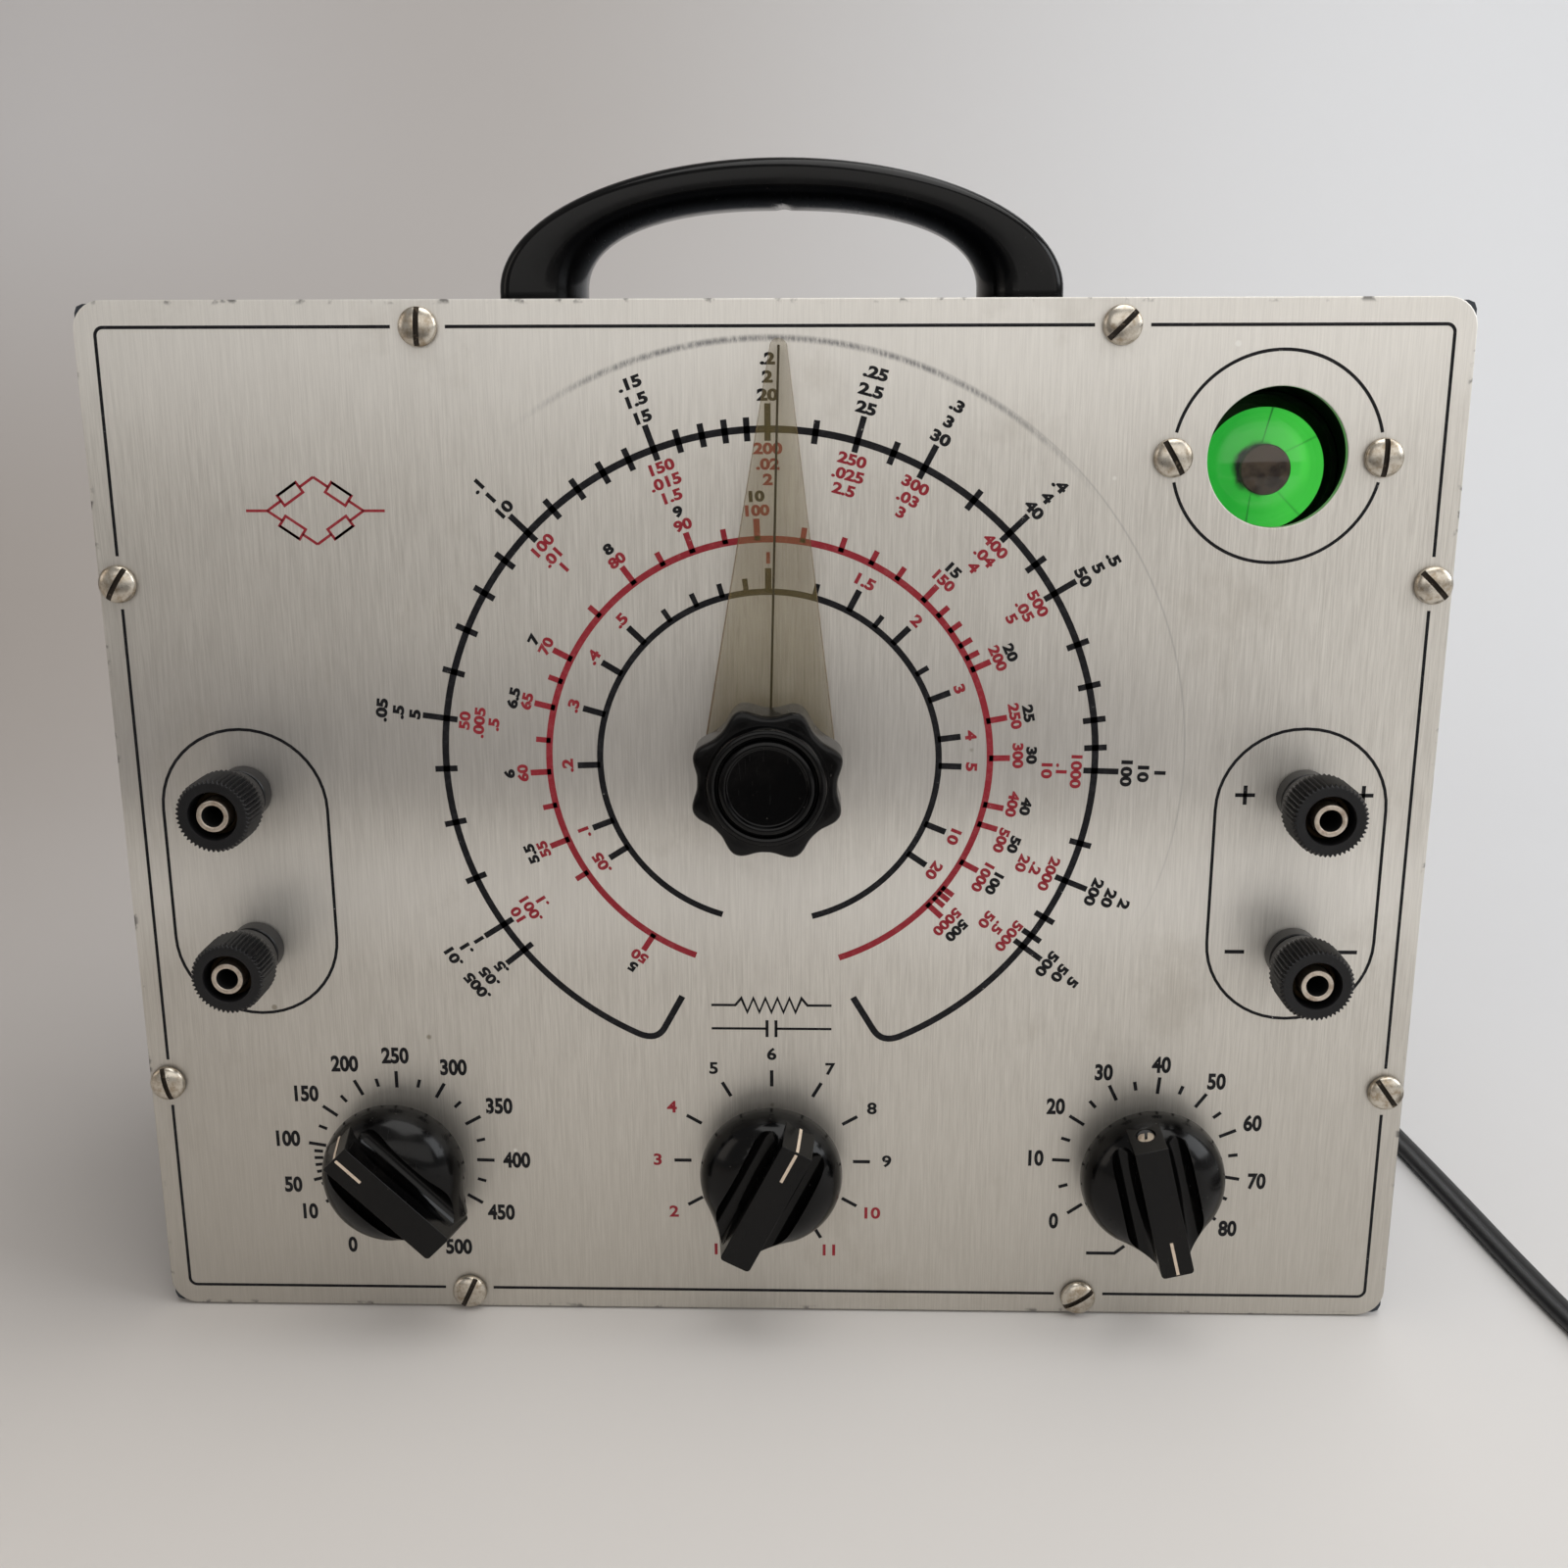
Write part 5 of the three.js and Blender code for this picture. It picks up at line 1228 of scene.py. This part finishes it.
def clear_glass():
    glass = Finish("bulb_glass", (1, 1, 1), transmission_weight=1.0, ior=1.34)
    smear = glass.noise(90, detail=4)
    color = glass.mix((1, 1, 1), (smear.step(0.4, 0.8), (0.93, 0.96, 0.92)))
    glass.wear(base_color=color, roughness=smear.step(0.5, 0.8) * 0.05)
    glass.bump(smear, 0.01, 0.1)
    return glass


shroud, bulb = eye_shroud(), eye_glass()
target = smooth(spun("fine_eye_target", [
    (1.4, -14.5), (2.4, -14.8), (6.8, -12.8), (11.3, -10.4), (11.3, -11), (6.8, -13.4),
    (2.4, -15.4), (2.4, -43.1), (1.4, -43.1),
], 96))
cap = smooth(turned("fine_eye_cap", [
    (1.1, -16.9), (1.1, -9.1), (4.55, -9.1), (4.7, -8.9), (4.7, -8.3), (4.5, -8), (4.1, -7.9),
], 64))
dull_cap = plated("dull_cap", (0.12, 0.085, 0.06), (0.045, 0.032, 0.024), 0.5)
fit(shroud, flat_black, "eye_shroud")
fit(stand(bulb, eye_x, eye_z), clear_glass(), "eye_glass")
fit(stand(target, eye_x, eye_z), glow(), "eye_target")
fit(stand(cap, eye_x, eye_z), dull_cap, "eye_cap")
smoked_glass = moulded("smoked_glass", (0.02, 0.02, 0.021), (0.09, 0.09, 0.095), 0.06, 200, 0.004)
dress(["rectifier_tube"], smoked_glass)
print("eye at", round(eye_x / mm, 1), round(eye_z / mm, 1))

# %% [markdown]
# The print is drawn as the old screens were: thin lines along points, and figures set one by one.
# A small class collects them into a single mesh. Angles on every scale are clockwise from straight
# up. No words are printed here. Rows of plain numbers keep the look of the scales.

# %% Drawing the print
ink_height, ink_half, cap_share = 0.014 * mm, 0.02 * mm, 0.7


def polar(centre, radius, angle):
    """A point on the panel, in mm, at an angle clockwise from straight up."""
    turn = math.radians(angle)
    return centre[0] + radius * math.sin(turn), centre[1] + radius * math.cos(turn)


def arc(centre, radius, start, end, step=2.0):
    count = max(2, round(abs(end - start) / step))
    return [polar(centre, radius, start + (end - start) * i / count) for i in range(count + 1)]


class Print:
    """Lines and figures of one ink, kept until they are made one piece."""

    def __init__(self, name, ink):
        self.name, self.ink = name, ink
        self.points, self.faces, self.figures = [], [], []

    def line(self, points, width):
        """A strip of one width along points in mm."""
        spots = [Vector(point) for point in points]
        start = len(self.points)
        last = len(spots) - 1
        for i, spot in enumerate(spots):
            back = (spot - spots[max(i - 1, 0)]).normalized()
            on = (spots[min(i + 1, last)] - spot).normalized()
            heading = (back + on).normalized()
            normal = Vector((-heading.y, heading.x))
            lean = max(0.5, abs(heading.dot(on if on.length else back)))
            for side, out in ((1, -1), (-1, -1), (-1, 1), (1, 1)):
                edge = spot + normal * side * width / 2 / lean
                self.points.append((edge.x * mm, front - ink_height - out * ink_half, edge.y * mm))
        for i in range(last):
            a, b = start + 4 * i, start + 4 * (i + 1)
            for j in range(4):
                k = (j + 1) % 4
                self.faces.append((a + j, a + k, b + k, b + j))
        end = start + 4 * last
        self.faces.append((start + 3, start + 2, start + 1, start))
        self.faces.append((end, end + 1, end + 2, end + 3))

    def tick(self, centre, angle, inner, outer, width):
        """A mark across a ring, between two radii."""
        self.line([polar(centre, inner, angle), polar(centre, outer, angle)], width)

    def figure(self, text, spot, height, turn=0.0, width=1.0, weight=0.0):
        """A number or a sign, centred on a spot in mm and turned clockwise."""
        bpy.ops.object.select_all(action="DESELECT")
        bpy.ops.object.text_add()
        words = bpy.context.active_object
        words.data.body, words.data.size = text, height * mm / cap_share
        words.data.align_x, words.data.align_y = "CENTER", "CENTER"
        words.data.offset, words.data.extrude, words.data.resolution_u = weight * mm, ink_half, 4
        bpy.ops.object.convert(target="MESH")
        piece = bpy.context.active_object
        piece.data.transform(
            Matrix.Translation((0, 0, ink_height)) @ Matrix.Diagonal((width, 1, 1, 1))
        )
        self.figures.append(stand(piece, spot[0] * mm, spot[1] * mm, turn))

    def label(self, value, centre, radius, angle, height, width, weight, upright=False):
        """A number on a ring, which turns with the ring unless it stands upright."""
        spot, turn = polar(centre, radius, angle), 0 if upright else angle
        self.figure(short(value), spot, height, turn, width, weight)

    def piece(self):
        """Everything drawn so far, as one piece that rides on the instrument."""
        data = bpy.data.meshes.new(self.name)
        data.from_pydata(self.points, [], self.faces)
        lines = linked(self.name, data)
        edit(lines)
        tidy_faces()
        return fit(joined(self.name, [lines, *self.figures]), self.ink)


def short(value):
    """A number as a panel prints it, with no nought before its point."""
    text = f"{value:g}"
    return text[1:] if text.startswith("0.") else text


black, red = Print("black_print", black_ink), Print("red_print", red_ink)
print_shift_x, print_shift_z = -0.25, 0.1
dial = (dial_x / mm + print_shift_x, dial_z / mm + print_shift_z)

# %% [markdown]
# The widest scale runs as a bridge does: the balance point is the share v / (1 + v) of the turn,
# so the marks crowd together at both ends. It has three rows of numbers outside and three inside.

# %% The widest scale
full_turn, outer_ring = 275, 62.3
measured = {0.5: -128.5, 1: -122.5}
outer_rows, inner_rows = (6, 3.2), (-3.6, -2.8)


def bridge_angle(ratio):
    return full_turn * (ratio / (1 + ratio) - 0.5)


marks = [0.5, *range(1, 21), 22.5, 25, 27.5, 30, 35, 40, 45, 50, 60, 70, 80, 90, 100, 150, 200,
         300, 400, 500]
labelled = [0.5, 1, 5, 10, 15, 20, 25, 30, 40, 50, 100, 200, 500]
for value in marks:
    angle = measured.get(value, bridge_angle(value / 20))
    tick_out = 4.6 if value in labelled else 2.2
    black.tick(dial, angle, outer_ring - 2.1, outer_ring + tick_out, 1.15)
    if value not in labelled:
        continue
    for row, number in enumerate((value, value / 10, value / 100)):
        radius = outer_ring + outer_rows[0] + outer_rows[1] * row
        black.label(number, dial, radius, angle, 1.95, 1.35, 0.14)
    if value == min(labelled):
        continue
    for row, number in enumerate((10 * value, value / 1000, value / 10)):
        radius = outer_ring + inner_rows[0] + inner_rows[1] * row
        red.label(number, dial, radius, angle, 1.9, 1.3, 0.12)


def hook(ring_end, reach):
    """The turn at an end of the ring: a rounded corner, then a straight line up."""
    side, tip_drop, rounding = math.copysign(1, ring_end), 48.4, 3.6
    start, corner = (
        Vector(polar(dial, outer_ring, ring_end - side * back)) for back in (rounding, 0)
    )
    tip = Vector((dial[0] + side * reach, dial[1] - tip_drop))
    return [*curve_by(start, corner, corner.lerp(tip, 0.3), 8), tip]


ring = arc(dial, outer_ring, -155, 155.4)
black.line(hook(-158.6, 17.5)[::-1] + ring + hook(159, 16.5), 1.3)
print("marks on the widest scale:", len(marks))

# %% [markdown]
# The middle scale comes as measured angles. It is red, with a black row beyond. The innermost one
# runs as the widest does, but for two marks at its low end.

# %% The inner scales
middle_ring, inner_ring = 42.3, 32.5
expanded = {
    50: -147.1, 55: -112.1, 60: -93.2, 65: -76, 70: -62.3, 80: -36.4, 90: -19.4, 100: -2.7,
    150: 43.2, 200: 65.2, 250: 79.3, 300: 89.2, 400: 101.7, 500: 107.1, 1000: 118.4, 5000: 133,
}
between = [
    -122.4, -102.3, -84.8, -68.8, -48.7, -27.6, -10.8, 8.7, 18.6, 26.9, 34.5, 48.7, 53.6, 58.3,
    61.9, 127, 128.7, 130.6,
]
moved_aside = {300: -0.6, 400: -1.4, 500: 2.2, 1000: 0.6}
red.line(arc(dial, middle_ring, -159.8, 161.2), 1.25)
for angle in between:
    red.tick(dial, angle, middle_ring - 0.2, middle_ring + 2.6, 1.05)
for value, angle in expanded.items():
    red.tick(dial, angle, middle_ring - 0.2, middle_ring + 3.8, 1.15)
    angle += moved_aside.get(value, 0)
    red.label(value, dial, middle_ring + 5.2, angle, 1.85, 1.25, 0.13)
    black.label(value / 10, dial, middle_ring + 7.8, angle, 1.8, 1.3, 0.14)

black.line(arc(dial, inner_ring, -163.4, 165.2), 1.2)
low_end = {0.05: -122.2, 0.1: -111.6}
for ratio in (0.05, 0.1, 0.2, 0.3, 0.4, 0.5, 1, 1.5, 2, 3, 4, 5, 10, 20):
    angle = low_end.get(ratio, bridge_angle(ratio))
    black.tick(dial, angle, inner_ring, inner_ring + 4.4, 1.2)
    red.label(ratio, dial, inner_ring + 6.2, angle, 1.95, 1.3, 0.13)
for ratio in (0.6, 0.7, 0.8, 0.9, 1.25, 1.75, 2.5):
    black.tick(dial, bridge_angle(ratio), inner_ring, inner_ring + 2.7, 1)
print("figures so far:", len(black.figures), "black and", len(red.figures), "red")

# %% [markdown]
# The knobs' scales keep their numbers upright. An angle between two known marks is found by a
# straight line between them.

# %% Scales of the knobs
def between_marks(anchors, value):
    """The angle of a value on a scale of known marks."""
    known = sorted(anchors)
    for low, high in zip(known, known[1:]):
        if value <= high:
            share = (value - low) / (high - low)
            return anchors[low] + (anchors[high] - anchors[low]) * share


def knob_scale(centre, anchors, labelled, radius, wider, between, small_tick):
    """Ticks round a knob, and upright numbers that stand further out at the sides."""
    for value in labelled:
        angle = between_marks(anchors, value)
        out = radius + wider * abs(math.sin(math.radians(angle)))
        black.tick(centre, angle, 15.6, 19.2, 0.7)
        black.label(value, centre, out, angle, 3.2, 0.8, 0.18, upright=True)
    for value in between:
        black.tick(centre, between_marks(anchors, value), *small_tick)


voltage, ranges, power = (
    tuple(c / mm for c in middle_of(control + "_shaft")) for control in knob_turns
)
volts = {0: -150.5, 10: -122, 50: -105.7, 100: -80.5, 250: 0, 500: 152}
factors = {0: -125.5, 10: -87.5, 30: -25.7, 40: 5, 60: 66.4, 70: 99.5, 80: 130}
knob_scale(voltage, volts, (0, 10, *range(50, 501, 50)), 22.4, 1.4,
           (20, 30, 40, 60, 70, 80, 90, *range(125, 500, 50)), (16.2, 18, 0.65))
knob_scale(power, factors, range(0, 81, 10), 21.6, 1.2, range(5, 80, 10), (16.5, 18.4, 0.7))
off_sign = ((-11.4, -20.2), (-5.6, -20.2), (-3.6, -18.5))
black.line([(power[0] + x, power[1] + z) for x, z in off_sign], 0.7)
red_places = (0, 1, 2, 3, 9, 10)
for place in range(11):
    angle = -150 + 30 * place
    black.tick(ranges, angle, 16.5, 20, 0.7)
    ink = red if place in red_places else black
    ink.label(place + 1, ranges, 23.4, angle, 2.4, 1.15, 0.1, upright=True)
print("knob scales at", [round(c[0], 1) for c in (voltage, ranges, power)])

# %% [markdown]
# A thin border runs round the panel and stops short of each screw. Each pair of posts has a frame,
# the right one with plain signs. The signs of a resistor and a capacitor, as in any circuit
# drawing, stand under the dial, and a bridge of four arms stands at the top left.

# %% Border, frames and signs
def broken_line(points, gaps, width, clear=4.8):
    """Draws a line through points, but not near any of the gaps."""
    runs = [[]]
    for a, b in zip(points, points[1:]):
        a, b = Vector(a), Vector(b)
        count = max(1, round((b - a).length / 0.5))
        for i in range(count + 1):
            spot = a.lerp(b, i / count)
            if min((spot - Vector(gap)).length for gap in gaps) > clear:
                runs[-1].append(spot)
            elif runs[-1]:
                runs.append([])
    for run in runs:
        if len(run) > 1:
            black.line(thin(run), width)


def thin(points):
    """Leaves out points that are repeated or lie on a straight stretch."""
    kept = points[:1]
    for here, after in zip(points[1:], points[2:]):
        if (here - kept[-1]).length < 0.01 or (after - here).length < 0.01:
            continue
        if (here - kept[-1]).normalized().cross((after - here).normalized()) ** 2 > 1e-6:
            kept.append(here)
    return kept + points[-1:]


def framed(low_x, high_x, low_z, high_z, corner):
    """A closed outline of a rectangle with round corners."""
    middle = ((low_x + high_x) / 2, (low_z + high_z) / 2)
    points = rounded((high_x - low_x) / 2, (high_z - low_z) / 2, corner, 12)
    points = [(middle[0] + x, middle[1] + z) for x, z in points]
    return points + points[:1]


screws = [tuple(c / mm for c in middle_of(node)) for node in slot_turns]
window, window_ring = tuple(c / mm for c in eye_window), 19.1
border, left_frame = (-122.6, 122.6, 4.7, 199, 1.5), (-118.5, -86.3, 66, 124.3, 16)
right_frame, frame_line, sign_line, sign_half = (85.5, 118, 66.3, 125, 16), 0.6, 0.75, 1.9
broken_line(framed(*border), screws, frame_line)
broken_line(arc(window, window_ring, -90, 270, 3), screws, frame_line, 4.4)
for outline in (left_frame, right_frame):
    black.line(framed(*outline), frame_line)
for x, z, plus in ((91, 112, True), (113.5, 112, True), (91, 80.2, False), (113, 80.2, False)):
    black.line([(x - sign_half, z), (x + sign_half, z)], sign_line)
    if plus:
        black.line([(x, z - sign_half), (x, z + sign_half)], sign_line)


circuit_line, sign_reach = 0.5, 12


def resistor_sign(z, teeth=6, height=1.5):
    """A zigzag between two straight leads."""
    lead_in = 2 * sign_reach * 0.2
    points = [(-sign_reach, z), (-sign_reach + lead_in, z)]
    step = (2 * sign_reach - 2 * lead_in) / (2 * teeth)
    for i in range(2 * teeth - 1):
        x = -sign_reach + lead_in + step * (i + 1)
        points.append((x, z + (height if i % 2 == 0 else -height)))
    black.line(points + [(sign_reach - lead_in, z), (sign_reach, z)], circuit_line)


def capacitor_sign(z, gap=0.9, height=1.8):
    """Two plates with a gap, each with its lead."""
    for side in (-1, 1):
        black.line([(sign_reach * side, z), (gap * side, z)], circuit_line)
        black.line([(gap * side, z - height), (gap * side, z + height)], 0.6)


def bridge_sign(middle, half_width=9, half_height=6.2, lead=4, half_box=1.1):
    """A square on its corner, with a resistor's box in each arm."""
    offsets = ((0, half_height), (half_width, 0), (0, -half_height), (-half_width, 0))
    corners = [middle + Vector(offset) for offset in offsets]
    lines = [[middle + Vector((reach * side, 0)) for reach in (half_width, half_width + lead)]
             for side in (-1, 1)]
    for a, b in zip(corners, corners[1:] + corners[:1]):
        start, end = a.lerp(b, 0.3), a.lerp(b, 0.7)
        across = Vector((a.y - b.y, b.x - a.x)).normalized() * half_box
        box = [start + across, end + across, end - across, start - across]
        lines += [[a, start], [end, b], [*box, *box[:2]]]
    for line in lines:
        red.line(line, circuit_line)


resistor_sign(dial[1] - 50.2)
capacitor_sign(dial[1] - 55.2)
bridge_sign(Vector((-84.5, 166)))

for sheet in (black, red):
    whole = sheet.piece()
    print(whole.name, "has", len(whole.data.polygons), "faces")

# %% [markdown]
# The studio is a white sweep: a floor that curves up into a wall behind. A large cool light stands
# to the right, so the left falls off, and the paper's colour adds painted shade to the left and
# painted light to the right. A wide light behind the camera shines on the panel. The panel is a
# blurred mirror: its top reflects that light and the pale room, and its foot the table.
# A dark card lies in front for reflections alone, where the photo's room was dark. The room is
# pale for the camera and for reflections, and dim where it lights.

# %% The studio
def sweep(half_width=2.4, front_y=-1.2, bend_y=0.35, bend=0.55, top=2.4, steps=14):
    """Floor and backdrop as one sheet: a strip drawn out, round the bend and up."""
    floor = added("studio_sweep", bpy.ops.mesh.primitive_plane_add, size=1)
    edit(floor)
    bpy.ops.transform.resize(value=(2 * half_width, bend_y - front_y, 1))
    bpy.ops.transform.translate(value=(0, (front_y + bend_y) / 2, 0))
    choose_edges(floor, lambda a, b: min(a.y, b.y) > bend_y - mm)
    for i in range(steps):
        a, b = (math.pi / 2 * j / steps for j in (i, i + 1))
        step = (0, bend * (math.sin(b) - math.sin(a)), bend * (math.cos(a) - math.cos(b)))
        bpy.ops.mesh.extrude_region_move(TRANSFORM_OT_translate={"value": step})
    bpy.ops.mesh.extrude_region_move(TRANSFORM_OT_translate={"value": (0, 0, top - bend)})
    tidy_faces()
    make_active(floor)
    bpy.ops.object.shade_smooth()
    return floor


def black_flag(size=(0.76, 0.56), middle=(-0.21, -0.67, 0.004)):
    """A dark card on the floor in front, which nothing but reflections can see."""
    card = added("black_flag", bpy.ops.mesh.primitive_plane_add, size=1)
    edit(card)
    bpy.ops.transform.resize(value=(*size, 1))
    bpy.ops.transform.translate(value=middle)
    bpy.ops.object.mode_set(mode="OBJECT")
    for sight in ("camera", "diffuse", "transmission", "volume_scatter", "shadow"):
        setattr(card, "visible_" + sight, False)
    return card


def area_light(name, spot, target, size, watts, color):
    """A rectangular lamp at a spot, turned to a target. Its sides are in metres."""
    data = bpy.data.lights.new(name, "AREA")
    data.shape, data.size, data.size_y = "RECTANGLE", *size
    data.energy, data.color = watts, color
    light = linked(name, data)
    away = (Vector(spot) - Vector(target)).to_track_quat("Z", "Y").to_matrix().to_4x4()
    light.matrix_world = Matrix.Translation(spot) @ away
    return light


def studio_paper():
    """Painted shade: warm and darker to the left. Painted light: cool and pale to the right, paler
    high on the wall at the left, and warm and pale again in front.
    """
    paper = Finish("studio_paper", (0.7, 0.7, 0.7))
    fleck = paper.noise(3, detail=4)
    x, y, z = paper.parts()
    across = x + fleck * 0.1 - 0.05
    wall_left = x.step(-0.1, -0.55) * z.step(0.03, 0.36)
    color = paper.mix(
        (0.48, 0.44, 0.41), (across.step(-0.55, 0.5), (0.735, 0.745, 0.765)),
        (wall_left * 0.8, (0.74, 0.73, 0.74)), (y.step(0.15, -0.15) * 0.4, (0.8, 0.76, 0.71)),
    )
    paper.wear(base_color=color, roughness=0.55 + fleck * 0.15)
    paper.bump(paper.noise(900), 0.02, 0.3)
    return paper


def pale_room(dim, pale):
    """A world of two colours: a dim one that lights, and a pale one that is seen and reflected."""
    world = bpy.data.worlds.new("room")
    bpy.context.scene.world = world
    room = Mixer(world)
    rays = room.add("LightPath").socket.node.outputs
    seen = Signal(room, rays["Is Camera Ray"])
    for kind in ("Is Glossy Ray", "Is Transmission Ray"):
        seen = seen.most(Signal(room, rays[kind]))
    room.feed(room.tree.nodes["Background"].inputs["Color"], room.mix(dim, (seen, pale)))


floor, flag = sweep(), black_flag()
dress([floor], studio_paper())
dress([flag], flat_black)
lights = [area_light(name, *settings) for name, settings in {
    "overhead": ((0.35, -0.2, 1.5), (0.1, 0, 0), (1.6, 1.2), 15, (1, 0.99, 0.97)),
    "right": ((1.4, -0.35, 0.8), (0.1, 0.1, 0.15), (0.9, 0.9), 9, (0.94, 0.97, 1)),
    "behind_camera": ((0.3, -1.35, 0.62), (0, 0, 0.18), (2.2, 0.8), 5.5, (1, 0.97, 0.93)),
    "left": ((-1.3, -0.5, 0.6), (0, 0, 0.15), (0.5, 0.8), 1.4, (1, 0.9, 0.8)),
}.items()]
pale_room((0.11, 0.102, 0.096), (0.3, 0.295, 0.29))
bpy.context.scene.view_settings.view_transform = "Standard"
print("lamps:", len(lights))
